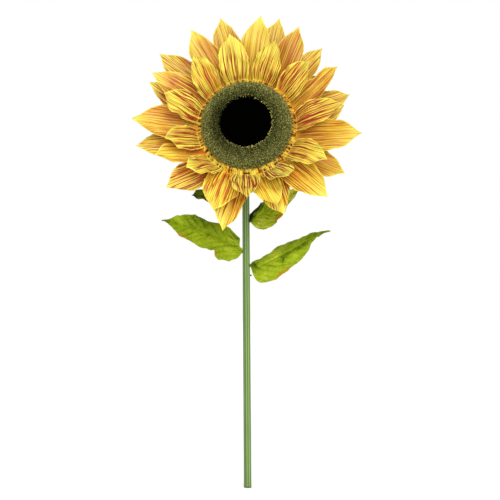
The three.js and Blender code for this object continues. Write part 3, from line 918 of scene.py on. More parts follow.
def makeCollar():
    sizes = collar
    r, c = sizes["radius"], sizes["chamfer"]
    profile = np.array([
        (0.0, sizes["back"]),
        (r - c, sizes["back"]),
        (r - 0.3 * c, sizes["back"] + 0.3 * c),
        (r, sizes["back"] + c),
        *[(r - inset, level) for inset, level in sizes["lip"]],
        (sizes["flatRadius"], sizes["flatLevel"]),
        (0.0, sizes["flatLevel"]),
    ])
    rng = np.random.default_rng(77)
    count = len(profile)
    clocks = np.arange(sizes["around"]) * 360 / sizes["around"]
    folds = sizes["folds"]
    lines = np.sort((np.arange(folds) + rng.uniform(-0.4, 0.4, folds)) / folds) * 360
    depth = rng.uniform(0.1, 1.0, sizes["folds"]) ** 2
    gap = np.abs((clocks[:, None] - lines[None, :] + 180) % 360 - 180)
    crease = (depth[None, :] * np.exp(-(gap / sizes["foldWidth"]) ** 2)).max(1)
    roots = np.sort([row[2] for row in petalList if row[0] == "front"])
    between = (roots + np.roll(roots, -1) + np.where(roots > np.roll(roots, -1), 360, 0)) / 2 % 360
    slot = np.abs((clocks[:, None] - between[None, :] + 180) % 360 - 180).min(1)
    # the slots between the front petals are the deepest folds, and they are painted darkest as shade in the
    # cloth's colour
    crease = np.maximum(crease, 1.1 * np.exp(-(slot / sizes["slotWidth"]) ** 2))
    wave = 0.5 + 0.5 * np.sin(np.radians(clocks) * 46 + 2 * np.sin(np.radians(clocks) * 7))
    dent = (crease + 0.25 * wave) * sizes["foldDepth"]
    reach = np.array([0, 0, .3, .6, 1, 1, 1, 1, 1, 1, 1, .6, 0, 0])
    radius = profile[None, :, 0] - dent[:, None] * reach[None, :]
    level = profile[None, :, 1] - 0.5 * dent[:, None] * reach[None, :] * (profile[None, :, 1] > -0.008)
    points = onHead(np.repeat(clocks, count).reshape(-1, count), radius, level).reshape(-1, 3)
    faces = ringFaces(sizes["around"], count)
    values = {"crease": np.repeat(crease, count)}
    made = newPiece("collar_cloth", points, faces, collarMaterial(), attributes=values)
    cleanMesh(made.data)
    return made


collarCloth = makeCollar()
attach(collarCloth, "root")
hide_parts("receptacle")
print("collar made")


# Calyx

calyx = {
    "rimRadius": 0.121,
    "rimLevel": -0.0443,
    "depth": 0.038,
    "backRadius": 0.016,
    "sepals": 13,
    "sepalReach": 0.178,
    "sepalDrop": 0.030,
    "sepalHalf": 0.024,
    "sepalPitch": -4,
    "rootInset": 0.014,
    "rootBehind": 0.0044,
    "thickness": 0.0022,
    "ribs": 52,
    "ribDepth": 0.0006,
    "around": 260,
    "bowlSteps": 20,
    "sepalRows": 24,
    "sepalColumns": 20,
    "sepalSwing": 5,  # degrees: one sepal to one side, the next straight, the next to the other side
    "swingShortens": 0.002,  # metres of reach for each degree of swing
    "sepalCup": 0.0012,
    "veinWidth": 0.0006,
    "sideVeinWidth": 0.0005,
    "veinHeight": 0.0007,
    "printLength": 70,  # millimetres of print from a sepal's root to its point
}


def greenClothMaterial(name, stops, vein):
    material, g, shader = newMaterial(name, 0.65, specular=0.35)
    cloud = g.noise(g.place(), 30.0, 3.0, 0.6)
    fine = g.noise(g.place(), 500.0, 2.0, 0.6)
    streak = g.noise(g.vector(g.attribute("lane") * 0.4, g.attribute("reach") * 0.03, 3.0), 1.0, 3.0)
    value = (0.5 + (cloud - 0.5) * 0.6 + (fine - 0.5) * 0.25 + (streak - 0.5) * 0.5).clamped()
    colour = g.blend(g.attribute("crease") * 0.6, g.ramp(value, stops), vein)
    finishMaterial(g, shader, colour, fine + g.attribute("crease") * -0.8, 0.3, 0.0004)
    return material


def makeCalyx():
    sizes = calyx
    material = greenClothMaterial(
        "calyxCloth", [(0.0, (55, 80, 21)), (0.5, (84, 112, 32)), (1.0, (120, 142, 53))], (160, 176, 88)
    )
    flat = math.acos(sizes["backRadius"] / sizes["rimRadius"])
    angles = np.linspace(flat, 0, sizes["bowlSteps"])
    bowl = [
        (sizes["rimRadius"] * math.cos(a), sizes["rimLevel"] - sizes["depth"] * math.sin(a)) for a in angles
    ]
    back = bowl[0][1]
    profile = np.array([(0.0, back), *bowl, (0.0, sizes["rimLevel"])])
    around = sizes["around"]
    clocks = np.arange(around) * 360 / around
    rib = 0.5 + 0.5 * np.cos(np.radians(clocks) * sizes["ribs"])
    count = len(profile)
    ribbed = profile[None, :, 0] > sizes["backRadius"] + 0.001
    radius = profile[None, :, 0] - sizes["ribDepth"] * rib[:, None] * ribbed
    level = np.repeat(profile[None, :, 1], around, 0)
    points = [onHead(np.repeat(clocks, count).reshape(-1, count), radius, level).reshape(-1, 3)]
    faces = ringFaces(around, count)
    values = {
        "lane": np.repeat(clocks * 2, count),
        "reach": np.tile(profile[:, 0] * 1000, around),
        "crease": np.repeat(rib ** 3, count),
    }
    rows, columns = sizes["sepalRows"], sizes["sepalColumns"]
    sheet, _ = sheetFaces(rows, columns)
    for i in range(sizes["sepals"]):
        clock = 360 * i / sizes["sepals"]
        swing = sizes["sepalSwing"] * (i % 3 - 1)
        s, t = np.meshgrid(np.linspace(0, 1, rows + 1), np.linspace(-1, 1, columns + 1), indexing="ij")
        width, _ = petalHalf(s, sizes["sepalHalf"])
        start = np.array([sizes["rimRadius"] - sizes["rootInset"], sizes["rimLevel"] - sizes["rootBehind"]])
        shorter = sizes["swingShortens"] * abs(swing)
        end = np.array([sizes["sepalReach"] - shorter, sizes["rimLevel"] - sizes["sepalDrop"]])
        pitch = math.radians(sizes["sepalPitch"])
        leave = np.array([math.cos(pitch), math.sin(pitch)])
        bend = start + leave * petalSizes["bow"] * np.linalg.norm(end - start)
        on, along = bezier(start, bend, end, s)
        normal = np.stack([-along[..., 1], along[..., 0]], -1)
        veins = np.exp(-(np.abs(t) * width / sizes["veinWidth"]) ** 2)
        sideVeins = np.exp(-((np.abs(t) - 0.5) * width / sizes["sideVeinWidth"]) ** 2)
        veins = np.maximum(veins, 0.6 * sideVeins)
        bump = sizes["veinHeight"] * veins * (1 - s) - sizes["sepalCup"] * (t * t) * softStep(s, 0.1, 0.5)
        for side in (1, -1):
            place = on + normal * (-bump + side * sizes["thickness"] / 2)[..., None]
            turn = np.degrees(t * width / on[..., 0])
            clocksHere = mix(clock, clock + swing, s) + turn
            points.append(onHead(clocksHere, place[..., 0], place[..., 1]).reshape(-1, 3))
            values["lane"] = np.concatenate([values["lane"], (t * width * 1000).ravel()])
            values["reach"] = np.concatenate([values["reach"], (s * sizes["printLength"]).ravel()])
            values["crease"] = np.concatenate([values["crease"], veins.ravel()])
        first = sum(len(p) for p in points[:-2])
        faces.extend((sheet + first).tolist())
    made = newPiece("calyx_cloth", np.concatenate(points), faces, material, attributes=values)
    cleanMesh(made.data)
    return made


calyxCloth = makeCalyx()
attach(calyxCloth, "root")
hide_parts("calyx")
print("calyx made")


# Stalk: stem and neck

stalk = {
    "height": 0.908,
    "footRadius": 0.011,
    "topRadius": 0.0102,
    "neckRadius": 0.0096,
    "lean": -0.0058,
    "flutes": 9,
    "fluteDepth": 0.0013,
    "stemPull": 0.042,
    "headPull": 0.034,
    "turn": 0.35,
    "sides": 108,
    "stemSteps": 40,
    "neckSteps": 33,
    "gap": 0.0003,  # from the stem to the neck, and from the neck to the calyx
    "foot": [(0.0, 0.0013), (0.0004, 0.0006), (0.0012, 0.00015), (0.0024, 0.0)],  # level, how far in
    "shaftFrom": 0.02,
}


def stemCentre(z):
    return np.array([stalk["lean"] * z / stalk["height"], 0.0, z])


def stemRadius(z):
    return mix(stalk["footRadius"], stalk["topRadius"], z / stalk["height"])


def stalkMaterial():
    material, g, shader = newMaterial("stemPlastic", 0.45, specular=0.4)
    flute = g.attribute("flute")
    where = g.place()
    height = g.node("ShaderNodeSeparateXYZ", {}, {"Vector": where}, "Z")
    acrossForPaintedShade = g.node("ShaderNodeSeparateXYZ", {}, {"Vector": where}, "X") * 1000 + height * 6.4
    long = g.node("ShaderNodeMapping", {}, {"Vector": where, "Scale": (260.0, 260.0, 5.0)})
    streak = g.noise(long, 1.0, 3.0, 0.6)
    cloud = g.noise(where, 9.0, 2.0)
    stops = [
        (0.0, (50, 78, 28)),
        (0.5, (99, 127, 60)),
        (1.0, (148, 179, 106)),
    ]
    # painted light and shade: the flutes' ridges are lighter and their grooves darker
    value = 0.16 + flute * 0.55 + (streak - 0.5) * 0.4 + (cloud - 0.5) * 0.25
    # painted shade: darker down the left side of the stem, away from the light on the right
    value = value + acrossForPaintedShade.smooth(-11.0, -1.0) * 0.22 - 0.12
    colour = g.ramp(value.clamped(), stops)
    foot = 1 - height.smooth(0.0, 0.05)
    colour = g.blend(foot * 0.35, colour, (91, 112, 57))
    colour = g.blend((1 - height.smooth(0.0005, 0.007)) * 0.75, colour, (66, 66, 34))
    finishMaterial(g, shader, colour, streak, 0.15, 0.0003, 0.38 + cloud * 0.15)
    return material


def stalkTree():
    # a fluted section swept along the path, which carries its own girth
    graph, given = newGeometryTree("flutedStalk", {
        "Flutes": "NodeSocketFloat",
        "Flute Depth": "NodeSocketFloat",
        "Turn": "NodeSocketFloat",
        "Material": "NodeSocketMaterial",
    })
    g = graph
    girth = g.node("GeometryNodeInputNamedAttribute", {"data_type": "FLOAT"}, {"Name": "girth"})
    path = g.node("GeometryNodeMeshToCurve", {}, {"Mesh": given["Geometry"]})
    circle = g.node("GeometryNodeCurvePrimitiveCircle", {"mode": "RADIUS"}, {
        "Resolution": stalk["sides"], "Radius": 1.0,
    })
    here = g.node("GeometryNodeInputPosition")
    x = g.node("ShaderNodeSeparateXYZ", {}, {"Vector": here}, "X")
    y = g.node("ShaderNodeSeparateXYZ", {}, {"Vector": here}, "Y")
    angle = y.maths("ARCTAN2", x) + given["Turn"]
    wave = (angle * given["Flutes"]).maths("COSINE")
    hollow = (1 - wave) * 0.5 * given["Flute Depth"]
    shrunk = g.node("ShaderNodeVectorMath", {"operation": "SCALE"}, {0: here, "Scale": 1 - hollow})
    circle = g.node("GeometryNodeStoreNamedAttribute", {"data_type": "FLOAT", "domain": "POINT"}, {
        "Geometry": circle, "Name": "flute", "Value": wave * 0.5 + 0.5,
    })
    circle = g.node("GeometryNodeSetPosition", {}, {"Geometry": circle, "Position": shrunk})
    swept = g.node("GeometryNodeCurveToMesh", {}, {
        "Curve": path, "Profile Curve": circle, "Scale": girth, "Fill Caps": True,
    })
    swept = g.node("GeometryNodeSetShadeSmooth", {}, {0: swept})
    done = g.node("GeometryNodeSetMaterial", {}, {"Geometry": swept, "Material": given["Material"]})
    result = g.tree.nodes.new("NodeGroupOutput")
    g.tree.links.new(done.socket, result.inputs[0])
    return graph


def makeStalk():
    sizes = stalk
    turn = headFrame.to_3x3()
    backwards = np.array(turn @ Vector((0, 1, 0)))
    flat = math.acos(calyx["backRadius"] / calyx["rimRadius"])
    reach = sizes["gap"] - (calyx["rimLevel"] - calyx["depth"] * math.sin(flat))
    last = np.array(head["centre"]) + backwards * reach
    top = stemCentre(sizes["height"])
    points = [stemCentre(z) for z, _ in sizes["foot"]]
    girths = [stemRadius(z) - inset for z, inset in sizes["foot"]]
    points[0][0] = points[1][0]
    for z in np.linspace(sizes["shaftFrom"], sizes["height"], sizes["stemSteps"]):
        points.append(stemCentre(z))
        girths.append(stemRadius(z))
    first = top + np.array([0, 0, sizes["gap"]])
    second = first + np.array([0, 0, sizes["stemPull"]])
    third = last + backwards * sizes["headPull"]
    for u in np.linspace(0, 1, sizes["neckSteps"])[1:]:
        points.append(
            (1 - u) ** 3 * first + 3 * u * (1 - u) ** 2 * second + 3 * u * u * (1 - u) * third + u ** 3 * last
        )
        girths.append(mix(sizes["topRadius"], sizes["neckRadius"], min(1, u * 4)))
    mesh = bpy.data.meshes.new("stalk_plastic")
    mesh.from_pydata([tuple(p) for p in points], [(i, i + 1) for i in range(len(points) - 1)], [])
    layer = mesh.attributes.new("girth", "FLOAT", "POINT")
    layer.data.foreach_set("value", np.array(girths, np.float32))
    made = bpy.data.objects.new("stalk_plastic", mesh)
    bpy.context.scene.collection.objects.link(made)
    bakeTree(made, stalkTree(), {
        "Flutes": float(sizes["flutes"]),
        "Flute Depth": sizes["fluteDepth"] / sizes["footRadius"],
        "Turn": sizes["turn"],
        "Material": stalkMaterial(),
    })
    return made


stalkPlastic = makeStalk()
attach(stalkPlastic, "root")
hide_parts("stem", "neck")
print("stalk made:", len(stalkPlastic.data.polygons), "faces")


# Leaves

leafSizes = {
    "thickness": 0.0012,
    "rows": 132,
    "columns": 84,
    "tipHalf": 0.0006,
    "foldWithin": 0.12,
    "gap": -0.0005,
    "standOff": 0.0047,
    "standUntil": 0.14,
    "teeth": 62,
    "toothDepth": 0.0018,
    "veins": 10,
    "veinLean": 1.45,
    "veinWidth": 0.0009,
    "creaseWidth": 0.0012,
    "creaseDepth": 0.0016,
    "crumples": 34,
    "crumpleTurn": (-0.6, 1.1),
    "crumpleSize": (4, 16),  # millimetres
    "crumpleStrength": (0.15, 0.55),
    "cornerShare": 0.006,
    "midWidth": 0.0011,
    "midDepth": 0.0008,
    "quiltHeight": 0.0009,
    "ruffle": 0.0030,
    "wave": 0.0020,
}

# A leaf leaves the stem at a level and a heading, passes in front of its peg and ends at its tip. Its two
# halves are given as (share of the length, half width in mm). A crease runs from one (share, mm from the
# midrib, plus above it) to another, and its last number is its strength, minus for a light ridge; the colour
# is painted shade in a crease and painted highlight on a light ridge. Shadows are painted shade: (share, mm,
# spread along, spread across in mm, amount), and a minus amount paints light. tone is painted light over the
# whole leaf, and painted shade where it is below zero. Rust browns a margin: side, from, to, width in mm.
leaves = {
    "lower_left": {
        "level": 0.655, "around": 188, "rise": 0.5,
        "tip": (-0.2375, -0.062, 0.7465), "face": (-0.1, -0.92, 0.38),
        "bow": 0.011, "sag": (-0.0147, -0.0147),
        "tone": 0.05,
        "foldAbove": 12, "foldBelow": 10,
        "above": [
            (0, 6), (0.05, 6), (0.065, 13), (0.09, 29), (0.13, 30), (0.17, 34), (0.24, 41), (0.30, 39),
            (0.37, 38), (0.42, 35), (0.48, 33), (0.52, 34), (0.60, 36), (0.63, 39), (0.66, 36), (0.69, 34),
            (0.75, 29), (0.79, 23), (0.84, 21), (0.87, 15), (0.92, 7), (0.96, 4), (1, 0),
        ],
        "below": [
            (0, 5), (0.005, 12), (0.012, 22), (0.025, 29), (0.06, 38), (0.105, 51), (0.135, 52), (0.185, 56),
            (0.222, 62), (0.24, 59), (0.268, 55), (0.284, 52), (0.292, 40), (0.31, 41), (0.35, 48),
            (0.40, 49), (0.46, 52), (0.50, 50), (0.55, 47), (0.64, 45), (0.69, 41), (0.72, 39), (0.76, 36),
            (0.785, 29), (0.82, 25), (0.865, 18), (0.90, 12), (0.925, 8), (0.96, 2), (1, 0),
        ],
        "creases": [
            ((0.02, 4), (0.11, 14), -0.6), ((0.11, 14), (0.22, 12), -1.0),
            ((0.06, 6), (0.17, -5), 1.0), ((0.17, -5), (0.25, -20), 0.8), ((0.25, -20), (0.36, -44), 0.6),
            ((0.23, -20), (0.20, -29), 1.0), ((0.41, -2), (0.45, -17), 1.0), ((0.45, -17), (0.54, -33), 0.7),
            ((0.58, -11), (0.70, -36), 0.9), ((0.58, 14), (0.58, -4), 1.0), ((0.88, 11), (0.80, -3), 1.0),
            ((0.76, 25), (0.58, -2), 0.8), ((0.67, 32), (0.56, 10), 0.9), ((0.54, 29), (0.47, 8), 0.8),
            ((0.23, 34), (0.09, 18), 1.0), ((0.19, 32), (0.09, 22), 0.8), ((0.24, 22), (0.12, 15), 0.9),
        ],
        "shadows": [
            (0.94, 0, 0.07, 16, 0.45), (0.72, -20, 0.05, 12, 0.25), (0.60, 30, 0.10, 10, 0.35),
            (0.50, 20, 0.07, 14, 0.30), (0.10, 27, 0.04, 7, 0.5), (0.42, 36, 0.10, 6, 0.4),
            (0.42, -4, 0.03, 6, 0.35), (0.10, -18, 0.10, 16, -0.30), (0.36, -14, 0.12, 16, -0.15),
            (0.62, 6, 0.10, 10, 0.15), (0.82, 12, 0.04, 6, -0.25), (0.60, 36, 0.12, 5, 0.35),
            (0.45, 20, 0.18, 12, 0.15), (0.48, -28, 0.14, 14, -0.18), (0.78, -12, 0.06, 10, 0.15),
        ],
        "rust": [(-1, 0.65, 0.80, 8), (-1, 0.24, 0.31, 10), (1, 0.37, 0.43, 6)],
    },
    "lower_right": {
        "level": 0.620, "around": -12, "rise": 0.1,
        "tip": (0.229, -0.048, 0.717), "face": (0, -0.97, 0.24),
        "bow": 0.011, "sag": (0.024, -0.018),
        "tone": 0.15,
        "foldAbove": -46, "foldBelow": 6,
        "above": [
            (0, 3), (0.015, 4), (0.03, 9), (0.07, 15), (0.12, 23), (0.165, 30), (0.21, 32), (0.25, 29),
            (0.29, 32), (0.33, 41), (0.37, 44), (0.42, 40), (0.45, 35), (0.50, 35), (0.54, 30), (0.59, 29),
            (0.62, 24), (0.67, 26), (0.72, 20), (0.77, 23), (0.81, 20), (0.85, 14), (0.89, 14), (0.935, 8),
            (0.975, 6), (1, 0),
        ],
        "below": [
            (0, 2), (0.012, 4), (0.02, 16), (0.03, 28), (0.045, 40), (0.065, 50), (0.095, 57), (0.125, 59),
            (0.20, 60), (0.24, 61), (0.26, 58), (0.30, 56), (0.38, 55), (0.42, 50), (0.46, 48), (0.53, 46),
            (0.57, 44), (0.60, 41), (0.64, 36), (0.68, 30), (0.70, 25), (0.725, 17), (0.755, 13), (0.79, 10),
            (0.82, 6), (0.85, 8), (0.90, 3), (0.95, 1), (1, 0),
        ],
        "creases": [
            ((0.12, -10), (0.24, -6), 0.7), ((0.24, -6), (0.36, -8), 0.8), ((0.36, -8), (0.58, -6), 0.6),
            ((0.58, -6), (0.76, -5), 0.6), ((0.40, -14), (0.36, -25), 0.9), ((0.16, -1), (0.40, 0), -0.8),
            ((0.19, -12), (0.29, -26), 0.7), ((0.29, -26), (0.43, -39), 0.8), ((0.05, 10), (0.09, -13), 1.0),
            ((0.07, 13), (0.16, 21), 0.8), ((0.06, -1), (0.14, 15), 1.0), ((0.09, -18), (0.13, -12), 0.9),
            ((0.45, 4), (0.52, 20), 0.8), ((0.60, 2), (0.68, 16), 0.8),
        ],
        "shadows": [
            (0.03, 2, 0.06, 16, 0.75), (0.07, -14, 0.05, 12, 0.35), (0.46, -11, 0.12, 6, 0.60),
            (0.38, -19, 0.03, 8, 0.55), (0.64, -9, 0.12, 6, 0.60), (0.56, 24, 0.07, 12, 0.45),
            (0.78, 8, 0.10, 12, 0.50), (0.93, 2, 0.06, 10, 0.40), (0.25, -40, 0.12, 14, -0.20),
            (0.55, -30, 0.10, 10, -0.20), (0.30, 12, 0.12, 14, -0.25), (0.20, -12, 0.06, 8, 0.25),
        ],
        "rust": [(-1, 0.23, 0.42, 9)],
    },
    "upper_right": {
        "level": 0.740, "around": -14, "rise": 0.5,
        "tip": (0.150, -0.036, 0.840), "face": (0.05, -0.96, 0.28),
        "bow": 0.007, "sag": (0.004, 0.004),
        "tone": 0.36,
        "foldAbove": 8, "foldBelow": 8,
        "above": [
            (0, 3), (0.03, 9), (0.055, 16), (0.12, 19), (0.17, 21), (0.23, 23), (0.31, 28), (0.36, 26),
            (0.45, 27), (0.60, 24), (0.75, 17), (0.88, 9), (1, 0),
        ],
        "below": [
            (0, 2), (0.012, 7), (0.018, 13), (0.03, 22), (0.057, 31), (0.10, 38), (0.155, 45), (0.19, 47),
            (0.235, 47), (0.275, 49), (0.38, 48), (0.415, 42), (0.47, 40), (0.52, 36), (0.57, 33), (0.62, 27),
            (0.67, 22), (0.71, 20), (0.76, 16), (0.82, 14), (0.87, 10), (0.90, 6), (1, 0),
        ],
        "creases": [
            ((0.01, 2), (0.17, 6), 1.0), ((0.17, 6), (0.36, 20), 1.0), ((0.24, -5), (0.30, -29), 0.8),
            ((0.06, -3), (0.14, -33), 0.6), ((0.27, -3), (0.37, -26), 0.8), ((0.10, -2), (0.20, -30), 0.5),
        ],
        "shadows": [
            (0.05, 12, 0.10, 11, 1.8), (0.20, 19, 0.09, 8, 1.6),
            (0.30, 25, 0.06, 7, 1.1), (0.0, 0, 0.05, 9, 1.1),
            (0.33, 10, 0.06, 10, 0.35), (0.15, -22, 0.12, 14, -0.35), (0.40, -10, 0.10, 10, 0.15),
            (0.80, 0, 0.12, 20, -0.5),
        ],
        "rust": [(-1, 0.36, 0.56, 13)],
    },
    "upper_left": {
        "level": 0.786, "around": 176, "rise": 0.5,
        "tip": (-0.158, 0.030, 0.820), "face": (-0.15, -0.75, 0.64),
        "bow": 0.008, "sag": (0.0, 0.0),
        "tone": -0.45,
        "foldAbove": 9, "foldBelow": 9,
        "above": [
            (0, 3), (0.03, 11), (0.08, 22), (0.20, 32), (0.35, 38), (0.50, 38), (0.70, 32), (0.845, 24),
            (0.91, 19), (0.955, 16), (0.965, 10), (0.985, 5), (1, 0),
        ],
        "below": [
            (0, 3), (0.03, 10), (0.08, 20), (0.20, 28), (0.35, 30), (0.50, 26), (0.60, 22), (0.70, 18),
            (0.80, 14), (0.90, 9), (1, 0),
        ],
        "creases": [((0.02, 0), (0.60, 0), -0.8)],
        "shadows": [],
        "rust": [(-1, 0.45, 0.86, 9)],
    },
}


def leafHalf(s, outline):
    # the cut margin, with its corners only just rounded
    shares, halves = np.array(outline, float).T
    soft = leafSizes["cornerShare"]
    near = [np.interp(s + step, shares, halves) for step in (-soft, 0.0, soft)]
    return np.maximum(leafSizes["tipHalf"], sum(near) / 3000)


def gapToSegment(x, y, start, end):
    # distance from a segment, the side of it that a point lies on, and a fade towards the segment's ends
    ax, ay = start
    dx, dy = end[0] - ax, end[1] - ay
    size = math.hypot(dx, dy)
    along = np.clip(((x - ax) * dx + (y - ay) * dy) / size ** 2, 0, 1)
    gap = np.hypot(x - ax - along * dx, y - ay - along * dy)
    turn = np.sign((x - ax) * dy - (y - ay) * dx)
    return gap, turn, np.sin(math.pi * np.clip(along, 0.04, 0.96)) ** 0.5


def leafMaterial():
    material, g, shader = newMaterial("leafCloth", 0.65, specular=0.1)
    where = g.place()
    cloud = g.noise(where, 26.0, 2.0, 0.6)
    mottle = g.noise(where, 95.0, 3.0, 0.65)
    fine = g.noise(where, 380.0, 3.0, 0.65)
    vein = g.attribute("vein")
    crease = g.attribute("crease")
    stops = [
        (0.0, (10, 15, 0)),
        (0.18, (48, 63, 0)),
        (0.40, (91, 112, 4)),
        (0.62, (127, 148, 13)),
        (0.82, (158, 175, 32)),
        (1.0, (194, 201, 80)),
    ]
    value = 0.60 + (cloud - 0.5) * 0.40 + (mottle - 0.5) * 0.34 + (fine - 0.5) * 0.45
    # painted shade: darker in the creases and where the tone and shadows fall; a light ridge or a minus
    # amount paints light instead
    value = value + g.attribute("quilt") * 0.05 - vein * 0.13 - crease * 0.28 - g.attribute("paintedShade") * 0.45
    colour = g.ramp(value.clamped(), stops)
    rust = g.attribute("rust") + (mottle - 0.5) * 1.6
    rust = rust.smooth(0.30, 0.80)
    colour = g.blend(rust, colour, g.ramp(value.clamped(), [(0.0, (53, 38, 0)), (0.7, (171, 133, 11))]))
    height = fine * 0.7 + mottle * 1.2 - vein * 0.5
    finishMaterial(g, shader, colour, height, 0.5, 0.0008, 0.5 + fine * 0.25)
    return material


leafCloth = leafMaterial()


def makeLeaf(name, leaf):
    sizes = leafSizes
    rng = np.random.default_rng(len(name) * 7 + int(1000 * leaf["level"]))
    a = math.radians(leaf["around"])
    outwards = np.array([math.cos(a), math.sin(a), 0.0])
    reach = stemRadius(leaf["level"]) + sizes["gap"]
    root = stemCentre(leaf["level"]) + outwards * reach + np.array([0, 0, reach * leaf["rise"]])
    tip = np.array(leaf["tip"])
    face = np.array(leaf["face"], float)
    face = face / np.linalg.norm(face)
    first, second = (np.array([0, 0, drop]) for drop in leaf["sag"])
    first = mix(root, tip, 1 / 3) + face * leaf["bow"] - first
    second = mix(root, tip, 2 / 3) + face * leaf["bow"] - second
    u = np.linspace(0, 1, sizes["rows"] + 1) ** 1.15
    s, t = np.meshgrid(u, np.linspace(-1, 1, sizes["columns"] + 1), indexing="ij")
    k = s[..., None]
    on = (1 - k) ** 3 * root + 3 * k * (1 - k) ** 2 * first + 3 * k * k * (1 - k) * second + k ** 3 * tip
    along = (1 - k) ** 2 * (first - root) + 2 * k * (1 - k) * (second - first) + k * k * (tip - second)
    along = along / np.linalg.norm(along, axis=-1, keepdims=True)
    across = np.cross(along, face)
    across = across / np.linalg.norm(across, axis=-1, keepdims=True)
    normal = np.cross(across, along)
    length = float(np.linalg.norm(tip - root))
    # the root lies on the front of its peg
    on = on + face * (sizes["standOff"] * (1 - softStep(s, 0.02, sizes["standUntil"])))[..., None]
    above = across[..., 2] * t > 0
    half = np.where(above, leafHalf(s, leaf["above"]), leafHalf(s, leaf["below"]))
    side = np.where(above, 1.0, -1.0)
    tooth = (s * sizes["teeth"] + 1.3 * np.sin(11 * s) + 0.37 * side) % 1.0
    bite = tooth * sizes["toothDepth"] * (0.6 + 0.4 * np.sin(23 * s + side)) * softStep(s, 0.03, 0.1)
    half = np.maximum(half - bite, sizes["tipHalf"])
    fold = np.radians(np.where(above, leaf["foldAbove"], leaf["foldBelow"]))
    fold = fold * np.minimum(1, s / sizes["foldWithin"])
    away = np.abs(t) * half
    x, y = s * length, side * away
    # side veins leave the midrib and lean towards the point
    climb = (x - sizes["veinLean"] * away) / length * sizes["veins"] + 0.25 * side
    gap = np.abs(climb - np.round(climb)) / sizes["veins"] * length / math.hypot(1, sizes["veinLean"])
    sideVein = np.exp(-(gap / sizes["veinWidth"]) ** 2) * softStep(away, 0.001, 0.006) * (1 - 0.6 * np.abs(t))
    midVein = np.exp(-(away / sizes["midWidth"]) ** 2)
    vein = np.maximum(sideVein * 0.8, midVein * 0.6)
    quilt = np.abs(np.sin(math.pi * climb)) * softStep(away, 0.001, 0.010)
    relief = sizes["quiltHeight"] * quilt * (1 - softStep(s, 0.8, 1)) - sizes["midDepth"] * midVein
    crease = np.zeros_like(s)
    lines = list(leaf["creases"])
    for _ in range(sizes["crumples"]):
        at = np.array([rng.uniform(0.04, 0.95), rng.uniform(-1, 1)])
        reachAbove = leafHalf(at[0], leaf["above"] if at[1] > 0 else leaf["below"]) * 1000
        turn = rng.uniform(*sizes["crumpleTurn"])
        size = rng.uniform(*sizes["crumpleSize"])
        middle = np.array([at[0], at[1] * reachAbove])
        swing = np.array([math.cos(turn) * size / length / 1000, math.sin(turn) * size * np.sign(at[1])])
        strength = rng.uniform(*sizes["crumpleStrength"]) * rng.choice([1, 1, -1])
        lines.append((tuple(middle - swing), tuple(middle + swing), strength))
    for start, end, strength in lines:
        start, end = (start[0] * length, start[1] / 1000), (end[0] * length, end[1] / 1000)
        gap, turn, fade = gapToSegment(x, y, start, end)
        core = np.exp(-(gap / sizes["creaseWidth"]) ** 2) * fade
        slope = turn * np.exp(-(gap / (3.5 * sizes["creaseWidth"])) ** 2) * (1 - np.exp(-gap / 0.0008)) * fade
        crease = np.where(np.abs(core * strength) > np.abs(crease), core * strength, crease)
        relief = relief - sizes["creaseDepth"] * strength * (core - 0.45 * slope)
    phase = rng.uniform(0, 2 * math.pi, 6)
    ruffle = sizes["ruffle"] * np.sin(26 * s + phase[0] + side) * np.abs(t) ** 2 * softStep(s, 0.08, 0.3)
    ruffle = ruffle + sizes["wave"] * np.sin(9 * s + 30 * y + phase[1]) * softStep(s, 0.1, 0.3)
    # painted shade from the leaf's tone and its listed shadows; minus values paint light
    paintedShade = -leaf["tone"] + 0 * s
    for share, level, spread, breadth, amount in leaf["shadows"]:
        paintedShade = paintedShade + amount * np.exp(-((s - share) / spread) ** 2 - ((y * 1000 - level) / breadth) ** 2)
    rust = np.zeros_like(s)
    for flank, low, high, breadth in leaf["rust"]:
        within = softStep(s, low, low + 0.02) * (1 - softStep(s, high - 0.02, high)) * (side == flank)
        rust = np.maximum(rust, within * np.exp(-((half - away) * 1000 / breadth) ** 2))
    sides = []
    for facing in (1, -1):
        lift = away * np.sin(fold) + relief + ruffle + facing * sizes["thickness"] / 2 / np.cos(fold)
        place = on + across * (np.sign(t) * away * np.cos(fold))[..., None] + normal * lift[..., None]
        sides.append(place.reshape(-1, 3))
    faces, rim = sheetFaces(sizes["rows"], sizes["columns"])
    once = {"vein": vein, "quilt": quilt, "crease": crease, "rust": rust, "paintedShade": paintedShade}
    attributes = {key: np.concatenate([v.ravel(), v.ravel()]) for key, v in once.items()}
    made = newPiece(f"leaf_{name}_cloth", np.concatenate(sides), faces, leafCloth, rim, attributes)
    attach(made, "root")
    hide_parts(f"leaf_{name}")


for name, leaf in leaves.items():
    makeLeaf(name, leaf)
print("leaves made:", len(leaves))


# Pegs keep their CAD shape

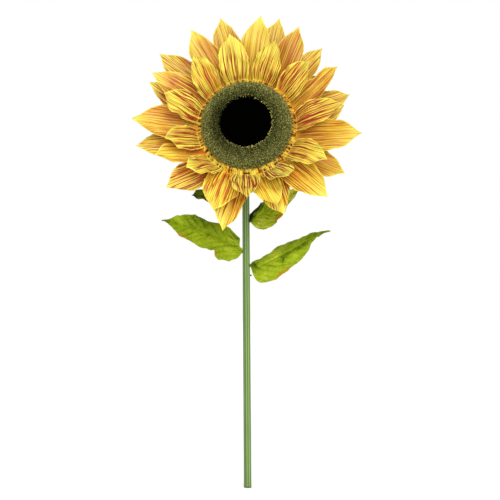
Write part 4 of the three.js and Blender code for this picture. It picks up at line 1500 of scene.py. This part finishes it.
def pegMaterial():
    material, g, shader = newMaterial("pegPlasticShadedDark", 0.5, specular=0.4)
    cloud = g.noise(g.place(), 240.0, 3.0, 0.6)
    # partly painted shade: the pegs' green plastic is darkened to near black for the shade they sit in under
    # the leaves
    colour = g.ramp(cloud, [(0.2, (22, 28, 12)), (0.8, (44, 56, 24))])
    finishMaterial(g, shader, colour, cloud, 0.2, 0.0003)
    return material


pegPlasticShadedDark = pegMaterial()
for name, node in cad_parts.items():
    if "peg" in name:
        node.data.materials.clear()
        node.data.materials.append(pegPlasticShadedDark)


# Studio

def sunFrom(name, direction, strength, softness):
    data = bpy.data.lights.new(name, "SUN")
    data.energy = strength
    data.angle = math.radians(softness)
    made = bpy.data.objects.new(name, data)
    made.rotation_euler = Vector(direction).to_track_quat("Z", "Y").to_euler()
    bpy.context.scene.collection.objects.link(made)


def makeStudio():
    sizes = studio
    sunFrom("keyLight", sizes["keyFrom"], sizes["keyStrength"], sizes["keySoftness"])
    sunFrom("fillLight", sizes["fillFrom"], sizes["fillStrength"], sizes["fillSoftness"])
    world = bpy.data.worlds.new("studioWorld")
    bpy.context.scene.world = world
    world.use_nodes = True
    world.node_tree.nodes.clear()
    g = Graph(world.node_tree)
    seen = g.node("ShaderNodeLightPath", out="Is Camera Ray")
    sky = sizes["skyStrength"]
    strength = sky + seen * (sizes["backdropStrength"] - sky)
    light = g.node("ShaderNodeBackground", {}, {"Color": (*sizes["backdrop"], 1), "Strength": strength})
    result = world.node_tree.nodes.new("ShaderNodeOutputWorld")
    world.node_tree.links.new(light.socket, result.inputs["Surface"])
    material, g, shader = newMaterial("floorPaint", 0.9, specular=0.1)
    cloud = g.noise(g.place(), 3.0, 2.0)
    colour = g.ramp(cloud, [(0.0, sizes["floorFrom"]), (1.0, sizes["floorTo"])])
    finishMaterial(g, shader, colour)
    shader.inputs["Emission Color"].default_value = (1, 1, 1, 1)
    shader.inputs["Emission Strength"].default_value = sizes["floorGlow"]
    around = sizes["floorSides"]
    angles = np.arange(around) * 2 * math.pi / around
    ring = np.stack([np.cos(angles), np.sin(angles), 0 * angles], 1) * sizes["floorRadius"]
    points = np.concatenate([ring, [[0, 0, 0]]])
    faces = [(i, (i + 1) % around, around) for i in range(around)]
    floor = newPiece("studioFloor", points, faces, material)
    bpy.context.scene.view_settings.view_transform = "Standard"


makeStudio()
print("studio made")
